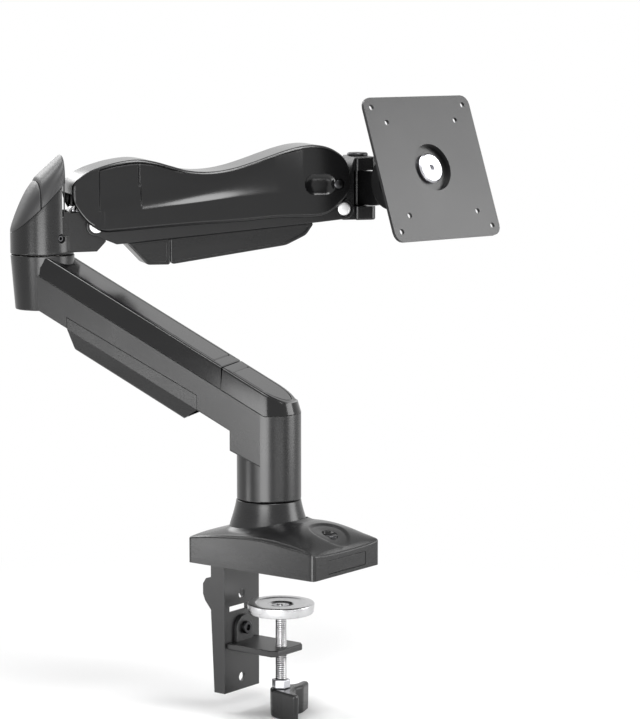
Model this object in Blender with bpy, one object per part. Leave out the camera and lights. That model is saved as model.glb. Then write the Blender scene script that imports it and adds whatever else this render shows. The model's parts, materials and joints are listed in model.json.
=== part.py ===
"""Desk-clamp monitor arm with a gas-spring parallelogram, as separate named pieces.

Lengths in the constants are millimetres; meshes are made in metres. The origin is on the column
axis, on the desk face under the base pad. +Z is up and the base's nose points to -Y.
Two-number points of the arms are (along, up): along is measured from the body's own vertical axis.
"""
import math

import bmesh
import bpy
from mathutils import Matrix, Vector

MM = 0.001
GAP = 0.3                     # between pieces that touch, and running clearance
ROUND = 32                    # sides of a large turned piece
SMALL = 14                    # sides of a screw or a pin

# Driving dimensions -------------------------------------------------------------------------
COLUMN_RADIUS = 25.0          # outside of the column sleeve and the elbow
LOWER_REACH = 185.8           # column axis to elbow axis, level
LOWER_RISE = 103.119          # of the lower arm between the column axis and the elbow axis
LOWER_SLOPE = LOWER_RISE / LOWER_REACH
LOWER_HEADING = 109.8         # degrees about +Z from +X, as the arm stands
UPPER_HEADING = -36.7
PLATE_HEADING = -100.0
TILT_BACK = 20.0              # degrees the screen plate leans back

BASE_HALF_WIDTH = 41.4
BASE_NOSE_Y = -75.3
BASE_REAR_Y = 46.8
BASE_WALL = 2.4
PAD_THICKNESS = 2.8
PLATE_THICKNESS = 6.0
# (y, height of the side edge, extra height on the centre line) of the cover's crowned top
COVER_CROWN = [(-75.3, 20.0, -3.0), (-69.0, 21.3, 1.0), (-61.0, 22.2, 5.5), (-50.0, 23.3, 9.5),
               (-37.0, 24.8, 11.5), (-18.0, 25.8, 11.5), (4.0, 24.7, 9.0), (25.0, 22.9, 6.0),
               (46.8, 19.9, 3.0)]

COLLAR_TOP = 49.3
COLLAR_LOW_RADIUS = 30.0
COLLAR_CONE_START = 30.0
COLLAR_WALL = 2.5
POST_RADIUS = 15.0
POST_SHOULDER_RADIUS = 20.0
POST_TOP = 101.3
SLEEVE_BORE = 17.5
SLEEVE_TOP = 99.0

ELBOW_JOINT_Z = 233.0         # seam between the lower arm's boss and the elbow housing
ELBOW_SHAFT_RADIUS = 12.0
ELBOW_SHAFT_END = 198.3       # lower end of the shaft inside the boss
CAP_HEIGHT = 17.2             # of the cap along the lower arm's back
CAP_DRAFT = 2.7               # how much narrower its top is on each side

LIFT_PIVOT = (33.7, 275.0)    # rear upper pin of the parallelogram, from the elbow axis
LINK_PIVOT = (39.0, 255.0)    # rear lower pin
ARM_LENGTH = 201.0            # between the rear and front pins of either link
ARM_RISE = 2.7                # degrees
ARM_HALF_WIDTH = 23.5
ARM_WALL = 2.2
ARM_EDGE = 2.6                # rounding of the arm's outer edges
FORK_HALF_WIDTH = 17.0
FORK_SLOT = 9.7               # half width of the slot for the spring's rod
SPRING_ANCHOR = (27.0, 264.0)
SPRING_FRONT = (196.0, 272.0)
SPRING_RADIUS = 10.0
ROD_RADIUS = 4.0
SPRING_PIN_RADIUS = 3.0
ROD_EYE_PLAY = 1.8            # loose on its pin, because the linkage is opened there
PIN_RADIUS = 4.0
LINK_PIN_RADIUS = 5.7
LINK_EYE = 8.0                # radius of the lower link's ends
LINK_HALF_WIDTH = 20.7        # inside the arm's walls

WRIST = 256.5                 # swivel axis, from the elbow axis
WRIST_TO_TILT = 50.0
SWIVEL_PIN_RADIUS = 3.5
TILT_Z = 287.0
TILT_RADIUS = 22.0
SCREEN_PLATE = 116.0          # side of the square plate
SCREEN_PLATE_THICKNESS = 2.5
VESA_SMALL, VESA_LARGE = 75.0, 100.0
VESA_HOLE_RADIUS = 2.3

CLAMP_SCREW_Y = -11.8
CLAMP_SCREW_RADIUS = 4.5
JAW_GAP = 30.6                # desk face to pressure disc
DISC_RADIUS = 25.8
DISC_THICKNESS = 8.0
SHELF_TOP = -65.0
SHELF_THICKNESS = 5.0
SHELF_HALF_WIDTH = 19.0
BACK_FACE_Y = 27.0            # front face of the upright clamp plate
BACK_HALF_WIDTH = 21.5
BACK_THICKNESS = 2.5
BACK_BOTTOM = -105.0


# Shape helpers --------------------------------------------------------------------------------
def clear_scene():
    for old in list(bpy.data.objects):
        bpy.data.objects.remove(old, do_unlink=True)


def finish(name, colour, roughness, metallic):
    material = bpy.data.materials.new(name)
    material.use_nodes = True
    shader = material.node_tree.nodes["Principled BSDF"]
    shader.inputs["Base Color"].default_value = (*colour, 1.0)
    shader.inputs["Roughness"].default_value = roughness
    shader.inputs["Metallic"].default_value = metallic
    return material


def make(name, mesh_builder, material, frame, shift=(0.0, 0.0, 0.0)):
    """Turn a bmesh in millimetres into a named object under a body's empty."""
    bmesh.ops.recalc_face_normals(mesh_builder, faces=mesh_builder.faces)
    many_sided = [face for face in mesh_builder.faces if len(face.verts) > 4]
    bmesh.ops.triangulate(mesh_builder, faces=many_sided)
    bmesh.ops.scale(mesh_builder, vec=(MM, MM, MM), verts=mesh_builder.verts)
    mesh = bpy.data.meshes.new(name)
    mesh_builder.to_mesh(mesh)
    mesh_builder.free()
    mesh.shade_smooth()
    mesh.set_sharp_from_angle(angle=math.radians(35))
    body = bpy.data.objects.new(name, mesh)
    bpy.context.scene.collection.objects.link(body)
    if material:
        # Each piece keeps a material of its own, so that one can be changed alone.
        own = material.copy()
        own.name = name
        mesh.materials.append(own)
    body.parent = frame
    body.location = Vector(shift) * MM
    return body


def operate(target, operation, builders):
    """Cut or join shapes, given as bmeshes in the target's own frame, into the target."""
    step = f"{target.name}_{operation.lower()}_{len(target.modifiers)}"
    guides = bpy.data.collections.new(step)
    bpy.context.scene.collection.children.link(guides)
    for number, builder in enumerate(builders):
        guide = make(f"{step}_{number}", builder, None, target.parent, target.location / MM)
        guide.hide_render = True
        guide.display_type = "WIRE"
        bpy.context.scene.collection.objects.unlink(guide)
        guides.objects.link(guide)
    modifier = target.modifiers.new(step, "BOOLEAN")
    modifier.operation = operation
    modifier.operand_type = "COLLECTION"
    modifier.collection = guides
    modifier.solver = "EXACT"
    return target


def cut(target, *builders):
    return operate(target, "DIFFERENCE", builders)


def join(target, *builders):
    return operate(target, "UNION", builders)


def keep(target, *builders):
    return operate(target, "INTERSECT", builders)


def loft(loops):
    """Closed solid through loops of points, each with the same number of points."""
    builder = bmesh.new()
    rings = [[builder.verts.new(point) for point in loop] for loop in loops]
    for first, second in zip(rings, rings[1:]):
        for index in range(len(first)):
            after = (index + 1) % len(first)
            builder.faces.new((first[index], first[after], second[after], second[index]))
    builder.faces.new(rings[0][::-1])
    builder.faces.new(rings[-1])
    return builder


def spread(outline, axis, at):
    """Points of a flat outline, set across one axis."""
    across = "xyz".index(axis)
    first, second = [number for number in range(3) if number != across]
    points = []
    for a, b in outline:
        point = [0.0, 0.0, 0.0]
        point[across], point[first], point[second] = at, a, b
        points.append(point)
    return points


def prism(outline, axis, low, high):
    return loft([spread(outline, axis, low), spread(outline, axis, high)])


def inset_outline(outline, inset):
    """The outline moved inward by the same distance on every side, whichever way it runs."""
    count = len(outline)
    turning = sum(outline[index][0] * outline[(index + 1) % count][1]
                  - outline[(index + 1) % count][0] * outline[index][1] for index in range(count))
    side = math.copysign(1.0, turning)
    moved = []
    for index, here in enumerate(outline):
        normals = []
        for start, end in ((outline[index - 1], here), (here, outline[(index + 1) % count])):
            run = math.dist(start, end)
            normals.append((-side * (end[1] - start[1]) / run, side * (end[0] - start[0]) / run))
        (ax, ay), (bx, by) = normals
        reach = inset / (1.0 + ax * bx + ay * by)
        moved.append((here[0] + reach * (ax + bx), here[1] + reach * (ay + by)))
    return moved


def soft_prism(outline, axis, low, high, radius, steps=2):
    """A prism whose two end faces have rounded rims."""
    turns = [math.pi / 2 * step / steps for step in range(steps + 1)]
    rim = [(radius * (1.0 - math.sin(turn)), radius * (1.0 - math.cos(turn))) for turn in turns]
    loops = [spread(inset_outline(outline, inset), axis, low + depth) for inset, depth in rim]
    loops += [spread(inset_outline(outline, inset), axis, high - depth) for inset, depth in rim[::-1]]
    return loft(loops)


def box(low, high):
    (x0, y0, z0), (x1, y1, z1) = low, high
    return prism([(x0, y0), (x1, y0), (x1, y1), (x0, y1)], "z", z0, z1)


def circle(centre, radius, sides):
    return [(centre[0] + radius * math.cos(math.tau * turn / sides),
             centre[1] + radius * math.sin(math.tau * turn / sides)) for turn in range(sides)]


def arc(centre, radius, start, end, steps):
    turns = [math.radians(start + (end - start) * step / steps) for step in range(steps + 1)]
    return [(centre[0] + radius * math.cos(turn), centre[1] + radius * math.sin(turn)) for turn in turns]


def rod(centre, radius, axis, low, high, sides=SMALL):
    return prism(circle(centre, radius, sides), axis, low, high)


def turned(profile, axis="z", centre=(0.0, 0.0), sides=ROUND):
    """Solid of revolution: profile is (radius, height) and runs once round the section."""
    across = "xyz".index(axis)
    first, second = [number for number in range(3) if number != across]
    builder = bmesh.new()
    rings = []
    for radius, height in profile:
        count = 1 if radius == 0.0 else sides
        ring = []
        for turn in range(count):
            angle = math.tau * turn / sides
            point = [0.0, 0.0, 0.0]
            point[across] = height
            point[first] = centre[0] + radius * math.cos(angle)
            point[second] = centre[1] + radius * math.sin(angle)
            ring.append(builder.verts.new(point))
        rings.append(ring)
    closed = profile[0][0] > 0.0
    pairs = list(zip(rings, rings[1:])) + ([(rings[-1], rings[0])] if closed else [])
    for one, other in pairs:
        for turn in range(sides):
            after = (turn + 1) % sides
            corners = [one[turn % len(one)], one[after % len(one)],
                       other[after % len(other)], other[turn % len(other)]]
            distinct = list(dict.fromkeys(corners))
            if len(distinct) > 2:
                builder.faces.new(distinct)
    return builder


def rounded_rectangle(low, high, radius, steps=4):
    (x0, y0), (x1, y1) = low, high
    corners = [(x1 - radius, y1 - radius, 0), (x0 + radius, y1 - radius, 90),
               (x0 + radius, y0 + radius, 180), (x1 - radius, y0 + radius, 270)]
    return [(cx + radius * math.cos(math.radians(start + 90 * step / steps)),
             cy + radius * math.sin(math.radians(start + 90 * step / steps)))
            for cx, cy, start in corners for step in range(steps + 1)]


def stadium(start, end, radius, steps=14):
    """Outline of a bar along the first axis with half-round ends."""
    left = [(start + radius * math.cos(math.radians(90 + 180 * step / steps)),
             radius * math.sin(math.radians(90 + 180 * step / steps))) for step in range(steps + 1)]
    right = [(end + radius * math.cos(math.radians(-90 + 180 * step / steps)),
              radius * math.sin(math.radians(-90 + 180 * step / steps))) for step in range(steps + 1)]
    return left + right


def socket_screw(axis, centre, head_radius, head, shank_radius, shank_end, key=2.5):
    """Cap screw: head is (outer face, under face), and the shank runs on to shank_end."""
    outer, under = head
    inward = 1 if shank_end > outer else -1
    depth = outer + inward * 0.6 * abs(under - outer)
    return turned([(0.0, depth), (key, depth), (key, outer), (head_radius, outer),
                   (head_radius, under), (shank_radius, under), (shank_radius, shank_end),
                   (0.0, shank_end)], axis, centre, SMALL)


def washer(axis, centre, inner, outer, low, high, sides=SMALL):
    """A ring whose bore clears a round shaft of the inner radius, also when it has few sides."""
    inner /= math.cos(math.pi / sides)
    return turned([(inner, low), (outer, low), (outer, high), (inner, high)], axis, centre, sides)


def turn_about(builder, axis, degrees, centre):
    matrix = Matrix.Rotation(math.radians(degrees), 4, axis)
    bmesh.ops.rotate(builder, cent=Vector(centre), matrix=matrix, verts=builder.verts)
    return builder


def empty(name, parent, location, heading=0.0, lean=0.0):
    """A body's frame: its local Z is vertical and its local Y crosses the arm, before lean."""
    axis = bpy.data.objects.new(name, None)
    bpy.context.scene.collection.objects.link(axis)
    axis.parent = parent
    axis.location = Vector(location) * MM
    axis.rotation_euler = (0.0, math.radians(lean), math.radians(heading))
    return axis


def along_arm(pivot):
    """The front pivot that belongs to a rear one."""
    rise = math.radians(ARM_RISE)
    return (pivot[0] + ARM_LENGTH * math.cos(rise), pivot[1] + ARM_LENGTH * math.sin(rise))


def between(value, stations, column):
    """Height of a smooth curve through stations, by the column wanted."""
    for lower, upper in zip(stations, stations[1:]):
        if value <= upper[0]:
            share = (value - lower[0]) / (upper[0] - lower[0])
            return lower[column] + share * (upper[column] - lower[column])
    return stations[-1][column]


FRONT_LIFT_PIVOT = along_arm(LIFT_PIVOT)
FRONT_LINK_PIVOT = along_arm(LINK_PIVOT)


# Base and desk clamp --------------------------------------------------------------------------
def cover_solid(inset, drop):
    """The base cover's outer form, pulled in by inset and lowered by drop."""
    loops = []
    shares = [-1.0, -0.94, -0.8, -0.55, -0.25, 0.0, 0.25, 0.55, 0.8, 0.94, 1.0]
    for y, side, crown in COVER_CROWN:
        station = min(max(y, BASE_NOSE_Y + inset), BASE_REAR_Y - inset)
        half = BASE_HALF_WIDTH - inset
        top = [(share * half, station, side + crown * (1 - abs(share) ** 3) - drop)
               for share in shares]
        loops.append([(half, station, GAP - drop)] + top[::-1] + [(-half, station, GAP - drop)])
    return loft(loops)


def base_pieces(steel, plastic, rubber, frame):
    plate_low = PAD_THICKNESS + GAP
    plate_high = plate_low + PLATE_THICKNESS
    inner = BASE_HALF_WIDTH - BASE_WALL - GAP
    nose, rear = BASE_NOSE_Y + BASE_WALL + GAP, BASE_REAR_Y - BASE_WALL - GAP
    flange_front = 8.0
    flange_notch = [(-BACK_HALF_WIDTH - GAP, rear + 5.0), (-BACK_HALF_WIDTH - GAP, flange_front - GAP),
                    (BACK_HALF_WIDTH + GAP, flange_front - GAP), (BACK_HALF_WIDTH + GAP, rear + 5.0)]
    pad_outline = rounded_rectangle((-inner, nose), (inner, rear), 3.0)
    pad = make("desk_pad", prism(pad_outline, "z", 0.0, PAD_THICKNESS), rubber, frame)
    cut(pad, prism(flange_notch, "z", -1.0, PAD_THICKNESS + 1.0))

    plate = make("base_plate", prism(pad_outline, "z", plate_low, plate_high), steel, frame)
    screw_spots = [(18.0 * math.cos(math.radians(turn)), 18.0 * math.sin(math.radians(turn)))
                   for turn in (90, 210, 330)]
    flange_spots = [(-13.0, 17.0), (13.0, 17.0)]
    cover_screw_y = -59.7
    cut(plate, *[rod(spot, 3.3, "z", plate_low - 1, plate_high + 1) for spot in screw_spots],
        *[rod(spot, 5.6, "z", plate_low - 1, plate_low + 3.3) for spot in screw_spots],
        *[rod(spot, 3.3, "z", plate_low - 1, plate_high + 1) for spot in flange_spots],
        rod((0.0, cover_screw_y), 2.8, "z", plate_low - 1, plate_high + 1))

    cover = make("base_cover", cover_solid(0.0, 0.0), plastic, frame)
    recess_z = between(cover_screw_y, COVER_CROWN, 1) + between(cover_screw_y, COVER_CROWN, 2)
    cut(cover, cover_solid(BASE_WALL, BASE_WALL),
        rod((0.0, 0.0), COLLAR_LOW_RADIUS + GAP, "z", 0.0, 60.0, ROUND),
        rod((0.0, cover_screw_y), 6.0, "z", recess_z - 8.0, recess_z + 10.0),
        box((-23.5, BASE_NOSE_Y - 1, 3.0), (23.5, BASE_NOSE_Y + 1.3, 13.5)))
    # A boss under the recess reaches down to the base plate and takes the cover's screw.
    boss_top = recess_z - 4.0
    join(cover, turned([(3.3, plate_high + GAP), (8.0, plate_high + GAP), (8.0, boss_top),
                        (3.3, boss_top)], "z", (0.0, cover_screw_y), SMALL))
    make("cover_screw", socket_screw("z", (0.0, cover_screw_y), 5.2, (boss_top + 3.3, boss_top + GAP),
                                     2.4, plate_low + 1.0, 1.8), steel, frame)
    make("nose_panel", box((-23.5 + GAP, BASE_NOSE_Y + 0.2, 3.0 + GAP),
                           (23.5 - GAP, BASE_NOSE_Y + 1.3 - GAP, 13.5 - GAP)), plastic, frame)

    flange_low = plate_high + GAP
    flange_high = flange_low + 5.0
    shoulder_z = COLLAR_TOP + GAP
    bolt_depth = 20.0
    post = make("column_post", turned([
        (0.0, flange_low), (26.5, flange_low), (26.5, flange_high), (POST_SHOULDER_RADIUS, flange_high),
        (POST_SHOULDER_RADIUS, shoulder_z), (POST_RADIUS, shoulder_z), (POST_RADIUS, POST_TOP),
        (4.3, POST_TOP), (4.3, POST_TOP - bolt_depth), (0.0, POST_TOP - bolt_depth)]), steel, frame)
    cut(post, *[rod(spot, 3.3, "z", flange_low - 1, flange_high + 6.0) for spot in screw_spots])
    for name, spot in zip(("rear", "left", "right"), screw_spots):
        make(f"post_screw_{name}", socket_screw("z", spot, 5.2, (plate_low + 0.3, plate_low + 3.0),
                                                3.0, flange_high + 4.0), steel, frame)
    make("column_collar", turned([
        (COLLAR_LOW_RADIUS - COLLAR_WALL, flange_high + GAP), (COLLAR_LOW_RADIUS, flange_high + GAP),
        (COLLAR_LOW_RADIUS, COLLAR_CONE_START), (COLUMN_RADIUS, COLLAR_TOP),
        (POST_SHOULDER_RADIUS + GAP, COLLAR_TOP), (POST_SHOULDER_RADIUS + GAP, COLLAR_TOP - 2.5),
        (COLUMN_RADIUS - COLLAR_WALL, COLLAR_TOP - 2.5),
        (COLLAR_LOW_RADIUS - COLLAR_WALL, COLLAR_CONE_START)]), plastic, frame)

    back = make("clamp_back_plate", box((-BACK_HALF_WIDTH, BACK_FACE_Y, BACK_BOTTOM),
                                        (BACK_HALF_WIDTH, BACK_FACE_Y + BACK_THICKNESS, GAP + 2.5)),
                steel, frame)
    flange_depth = 13.5
    ear_reach = 8.0
    side = [(BACK_FACE_Y, GAP - 3.0), (BACK_FACE_Y, BACK_BOTTOM),
            (BACK_FACE_Y + flange_depth - 3.0, BACK_BOTTOM), (BACK_FACE_Y + flange_depth, -42.0),
            (BACK_FACE_Y + flange_depth, -40.0), (BACK_FACE_Y + flange_depth + ear_reach - 2, -33.0),
            (BACK_FACE_Y + flange_depth + ear_reach, -28.0), (BACK_FACE_Y + flange_depth + ear_reach, -20.0),
            (BACK_FACE_Y + flange_depth + ear_reach - 3, -15.5), (BACK_FACE_Y + flange_depth, -14.0),
            (BACK_FACE_Y + flange_depth, GAP - 3.0)]
    join(back, prism(side, "x", -BACK_HALF_WIDTH, -BACK_HALF_WIDTH + BACK_THICKNESS),
         prism(side, "x", BACK_HALF_WIDTH - BACK_THICKNESS, BACK_HALF_WIDTH),
         box((-BACK_HALF_WIDTH, flange_front, GAP), (BACK_HALF_WIDTH, BACK_FACE_Y + 1.0, GAP + 2.5)))
    shelf_bottom = SHELF_TOP - SHELF_THICKNESS
    tab_hole_z = -55.0
    cut(back, *[rod((0.0, level), 3.6, "y", BACK_FACE_Y - 2, BACK_FACE_Y + 6)
                for level in (-29.0, tab_hole_z, -95.0)],
        *[rod(spot, 3.3, "z", -1.0, 6.0) for spot in flange_spots],
        box((-SHELF_HALF_WIDTH + 4.0, BACK_FACE_Y - 2, -41.5), (SHELF_HALF_WIDTH - 4.0, BACK_FACE_Y + 6, -37.0)))
    for name, spot in zip(("left", "right"), flange_spots):
        make(f"flange_screw_{name}", turned([
            (0.0, 0.0 + GAP), (3.0, GAP), (3.0, plate_high - 0.5), (0.0, plate_high - 0.5)],
            "z", spot, SMALL), steel, frame)

    # The shelf's own thickness stands in front of the upright plate, bent up into a bolted tab.
    tab_front = BACK_FACE_Y - GAP - 3.0
    shelf_front = CLAMP_SCREW_Y - 9.0
    shelf = make("clamp_shelf", soft_prism(
        [(-SHELF_HALF_WIDTH, tab_front + 3.0), (-SHELF_HALF_WIDTH, shelf_front + 4),
         (-SHELF_HALF_WIDTH + 4, shelf_front), (SHELF_HALF_WIDTH - 4, shelf_front),
         (SHELF_HALF_WIDTH, shelf_front + 4), (SHELF_HALF_WIDTH, tab_front + 3.0)],
        "z", shelf_bottom, SHELF_TOP, 0.8, 1), steel, frame)
    tab = [(-10.0, shelf_bottom + 1.0), (10.0, shelf_bottom + 1.0), (10.0, tab_hole_z)] + [
        (10.0 * math.cos(math.radians(turn)), tab_hole_z + 10.0 * math.sin(math.radians(turn)))
        for turn in range(20, 180, 20)] + [(-10.0, tab_hole_z)]
    join(shelf, prism(tab, "y", tab_front, tab_front + 3.0))
    cut(shelf, rod((0.0, CLAMP_SCREW_Y), CLAMP_SCREW_RADIUS + GAP, "z", shelf_bottom - 2, SHELF_TOP + 2),
        rod((0.0, tab_hole_z), 3.6, "y", tab_front - 2, tab_front + 5))
    make("shelf_bolt", socket_screw("y", (0.0, tab_hole_z), 5.0,
                                    (tab_front - 3.3, tab_front - GAP), 3.0, BACK_FACE_Y + 9.5),
         steel, frame)
    make("shelf_nut", washer("y", (0.0, tab_hole_z), 3.0 + GAP, 5.6, BACK_FACE_Y + BACK_THICKNESS + GAP,
                             BACK_FACE_Y + BACK_THICKNESS + GAP + 5.0, 6), steel, frame)


def clamp_pieces(steel, plastic, disc_frame, screw_frame):
    """Pressure disc, and the screw that turns in it, drawn about the screw's axis."""
    disc_top = -JAW_GAP
    disc_low = disc_top - DISC_THICKNESS
    neck = 3.2
    make("pressure_disc", turned([
        (neck + GAP, disc_top - 3.5), (8.5, disc_top - 3.5), (10.0, disc_top - 1.2),
        (19.0, disc_top - 0.8), (20.0, disc_top), (DISC_RADIUS - 0.8, disc_top),
        (DISC_RADIUS, disc_top - 0.8), (DISC_RADIUS - 0.8, disc_low), (neck + GAP, disc_low)]),
        steel, disc_frame)
    collar_top, collar_low = -91.0, -97.5
    screw_end = collar_low - 14.0
    make("clamp_screw", turned([
        (0.0, disc_top - 1.2), (neck, disc_top - 1.2), (neck, disc_low - GAP),
        (CLAMP_SCREW_RADIUS, disc_low - GAP), (CLAMP_SCREW_RADIUS, screw_end), (0.0, screw_end)],
        sides=SMALL), steel, screw_frame)
    make("disc_clip", washer("z", (0.0, 0.0), neck + GAP, 6.5, disc_top - 3.2, disc_top - 1.9),
         steel, screw_frame)
    make("screw_collar", washer("z", (0.0, 0.0), CLAMP_SCREW_RADIUS + GAP, 7.2, collar_low,
                                collar_top, 6), steel, screw_frame)
    top = collar_low - GAP
    blade = [(-15.0, -24.0), (-9.5, -25.0), (-3.0, -13.0), (6.0, -9.5), (16.0, -9.5), (29.0, -5.0),
             (29.0, 1.0), (15.0, -1.0), (9.0, 7.5), (-2.0, 10.0), (-9.0, 3.0), (-11.5, -10.0)]
    handle = make("clamp_handle", soft_prism(blade, "z", top - 22.0, top, 1.0, 1), plastic, screw_frame)
    cut(handle, rod((0.0, 0.0), CLAMP_SCREW_RADIUS + GAP, "z", screw_end - GAP, top + 2))


# Lower arm ------------------------------------------------------------------------------------
CAP_LINE = 118.7              # height of the cap's seam over the column axis
UNDER_LINE = 91.3             # height of the arm's underside there
CAP_FRONT_Z = 116.1           # the seam runs level round the column in front of this


def seam(along):
    return max(CAP_LINE + LOWER_SLOPE * along, CAP_FRONT_Z)


def under(along):
    return UNDER_LINE + LOWER_SLOPE * along


def cap_sections(stations, inset, low_extra, high_inset):
    """Cross-sections of the arm's cap: a drafted bar with a half-round end at the column."""
    loops = []
    for along in stations:
        radius = COLUMN_RADIUS - inset
        wide = math.sqrt(max(radius ** 2 - min(along, 0.0) ** 2, 1.0))
        narrow = max(wide - CAP_DRAFT, 0.6)
        low = seam(along) + GAP - low_extra
        high = max(CAP_LINE + LOWER_SLOPE * along + CAP_HEIGHT, CAP_FRONT_Z + 9.0) - high_inset
        loops.append([(along, -wide, low), (along, wide, low), (along, narrow, high - 1.0),
                      (along, narrow - 0.5, high), (along, -narrow + 0.5, high), (along, -narrow, high - 1.0)])
    return loops


def lower_arm_pieces(metal, steel, plastic, frame):
    elbow = LOWER_REACH
    floor = GAP + COLLAR_TOP + 0.3
    cheek = 22.8
    beam_end = elbow - 6.0
    beam = [(-COLUMN_RADIUS - 2, floor), (-1.5, floor), (-1.5, 77.4), (cheek, 88.7), (cheek, under(cheek)),
            (beam_end, under(beam_end)), (beam_end, seam(beam_end)), (-4.7, seam(-4.7)),
            (-COLUMN_RADIUS - 2, CAP_FRONT_Z)]
    casting = make("lower_arm", prism(beam, "y", -COLUMN_RADIUS - 2, COLUMN_RADIUS + 2), metal, frame)
    keep(casting, prism(stadium(0.0, elbow, COLUMN_RADIUS), "z", 0.0, 300.0))
    boss_low, boss_high = 190.0, ELBOW_JOINT_Z - GAP
    flange_seat = boss_high - 1.0
    shaft_seat = ELBOW_SHAFT_END - GAP
    shaft_bore = ELBOW_SHAFT_RADIUS + 2.0 + GAP
    join(casting, rod((0.0, 0.0), COLUMN_RADIUS - 0.6, "z", floor - 0.2, SLEEVE_TOP, ROUND),
         turned([(0.0, boss_low), (21.5, boss_low), (COLUMN_RADIUS, boss_high), (0.0, boss_high)],
                "z", (elbow, 0.0)))
    hollow_half = 19.5
    hollow = [(29.0, under(29.0) + 3.0), (elbow - 29.0, under(elbow - 29.0) + 3.0),
              (elbow - 29.0, seam(elbow - 29.0) + 5.0), (29.0, seam(29.0) + 5.0)]
    bushing_seat = 52.4
    strip_low, strip_high = 104.4, 0.527
    strip_slot = [(49.4 - GAP, 60.0), (155.7, 120.0), (155.7, strip_low + strip_high * 155.7 + GAP),
                  (49.4 - GAP, strip_low + strip_high * (49.4 - GAP) + GAP)]
    cut(casting, prism(hollow, "y", -hollow_half, hollow_half),
        turned([(0.0, floor - 2), (21.0, floor - 2), (21.0, bushing_seat), (SLEEVE_BORE, bushing_seat),
                (SLEEVE_BORE, SLEEVE_TOP), (21.5, SLEEVE_TOP), (21.5, 130.0), (0.0, 130.0)]),
        turned([(0.0, boss_low - 10), (17.0, boss_low - 10), (17.0, shaft_seat), (shaft_bore, shaft_seat),
                (shaft_bore, flange_seat), (20.3, flange_seat), (20.3, boss_high + 10),
                (0.0, boss_high + 10)], "z", (elbow, 0.0)),
        prism(strip_slot, "y", -30.0, -COLUMN_RADIUS + 2.3),
        prism(strip_slot, "y", COLUMN_RADIUS - 2.3, 30.0))

    inner, outer = POST_RADIUS + GAP, SLEEVE_BORE - GAP
    make("column_bushing_low", turned([
        (inner, COLLAR_TOP + 2 * GAP), (20.4, COLLAR_TOP + 2 * GAP), (20.4, bushing_seat - GAP),
        (outer, bushing_seat - GAP), (outer, 70.0), (inner, 70.0)]), plastic, frame)
    make("column_bushing_high", turned([
        (inner, 82.0), (outer, 82.0), (outer, SLEEVE_TOP + GAP), (20.4, SLEEVE_TOP + GAP),
        (20.4, POST_TOP), (inner, POST_TOP)]), plastic, frame)
    washer_low = POST_TOP + GAP
    make("column_washer", washer("z", (0.0, 0.0), 4.0 + GAP, 19.5, washer_low, washer_low + 2.5, ROUND),
         steel, frame)
    make("column_bolt", socket_screw("z", (0.0, 0.0), 8.0,
                                     (washer_low + 2.8 + 5.0, washer_low + 2.8), 4.0, POST_TOP - 18.0, 3.4),
         steel, frame)

    split = 30.0
    end_cap = make("column_end_cap", loft(cap_sections(
        (-24.9, -24.2, -22.5, -19.0, -13.0, -4.7, 6.0, split - GAP), 0.0, 0.0, 0.0)), plastic, frame)
    cut(end_cap, loft(cap_sections((-21.5, -19.0, -13.0, -4.7, 6.0, split - 3.0), 2.4, 4.0, 2.2)))
    cap = make("lower_arm_cap", loft(cap_sections((split, elbow - 8.0), 0.0, 0.0, 0.0)), plastic, frame)
    cut(cap, loft(cap_sections((split + 2.4, elbow - 30.0), 2.4, 4.0, 2.2)),
        rod((elbow, 0.0), COLUMN_RADIUS + GAP, "z", 150.0, 280.0, ROUND),
        box((split - 5, -40.0, ELBOW_JOINT_Z - 1.5), (elbow, 40.0, 300.0)))

    lower_edge = 19.0
    trough = []
    for top_along, foot_along in ((49.4, 62.2), (155.4, 151.0)):
        strip = strip_low + strip_high * top_along
        foot = under(foot_along) - 14.8
        trough.append([(top_along, COLUMN_RADIUS, strip), (top_along, COLUMN_RADIUS, under(top_along)),
                       (foot_along, lower_edge, foot), (foot_along, -lower_edge, foot),
                       (top_along, -COLUMN_RADIUS, under(top_along)), (top_along, -COLUMN_RADIUS, strip)])
    cover = make("lower_cable_cover", loft(trough), plastic, frame)
    room = []
    for along in (20.0, 180.0):
        inside = COLUMN_RADIUS - 2.0
        room.append([(along, inside, strip_low + strip_high * along + 9.0), (along, inside, under(along)),
                     (along, lower_edge - 2.0, under(along) - 12.6),
                     (along, -lower_edge + 2.0, under(along) - 12.6),
                     (along, -inside, under(along)), (along, -inside, strip_low + strip_high * along + 9.0)])
    cut(cover, loft(room))

    make("elbow_bushing", turned([
        (ELBOW_SHAFT_RADIUS + GAP, ELBOW_SHAFT_END), (ELBOW_SHAFT_RADIUS + 2.0, ELBOW_SHAFT_END),
        (ELBOW_SHAFT_RADIUS + 2.0, flange_seat + GAP), (20.0, flange_seat + GAP),
        (20.0, ELBOW_JOINT_Z - GAP / 2), (ELBOW_SHAFT_RADIUS + GAP, ELBOW_JOINT_Z - GAP / 2)],
        "z", (elbow, 0.0)), plastic, frame)


# Elbow ----------------------------------------------------------------------------------------
ELBOW_CUT_REAR_Z = 249.7      # where the slanted top starts, at the back of the elbow


def elbow_slope(along):
    return ELBOW_CUT_REAR_Z + 0.97 * (along + COLUMN_RADIUS)


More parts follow.
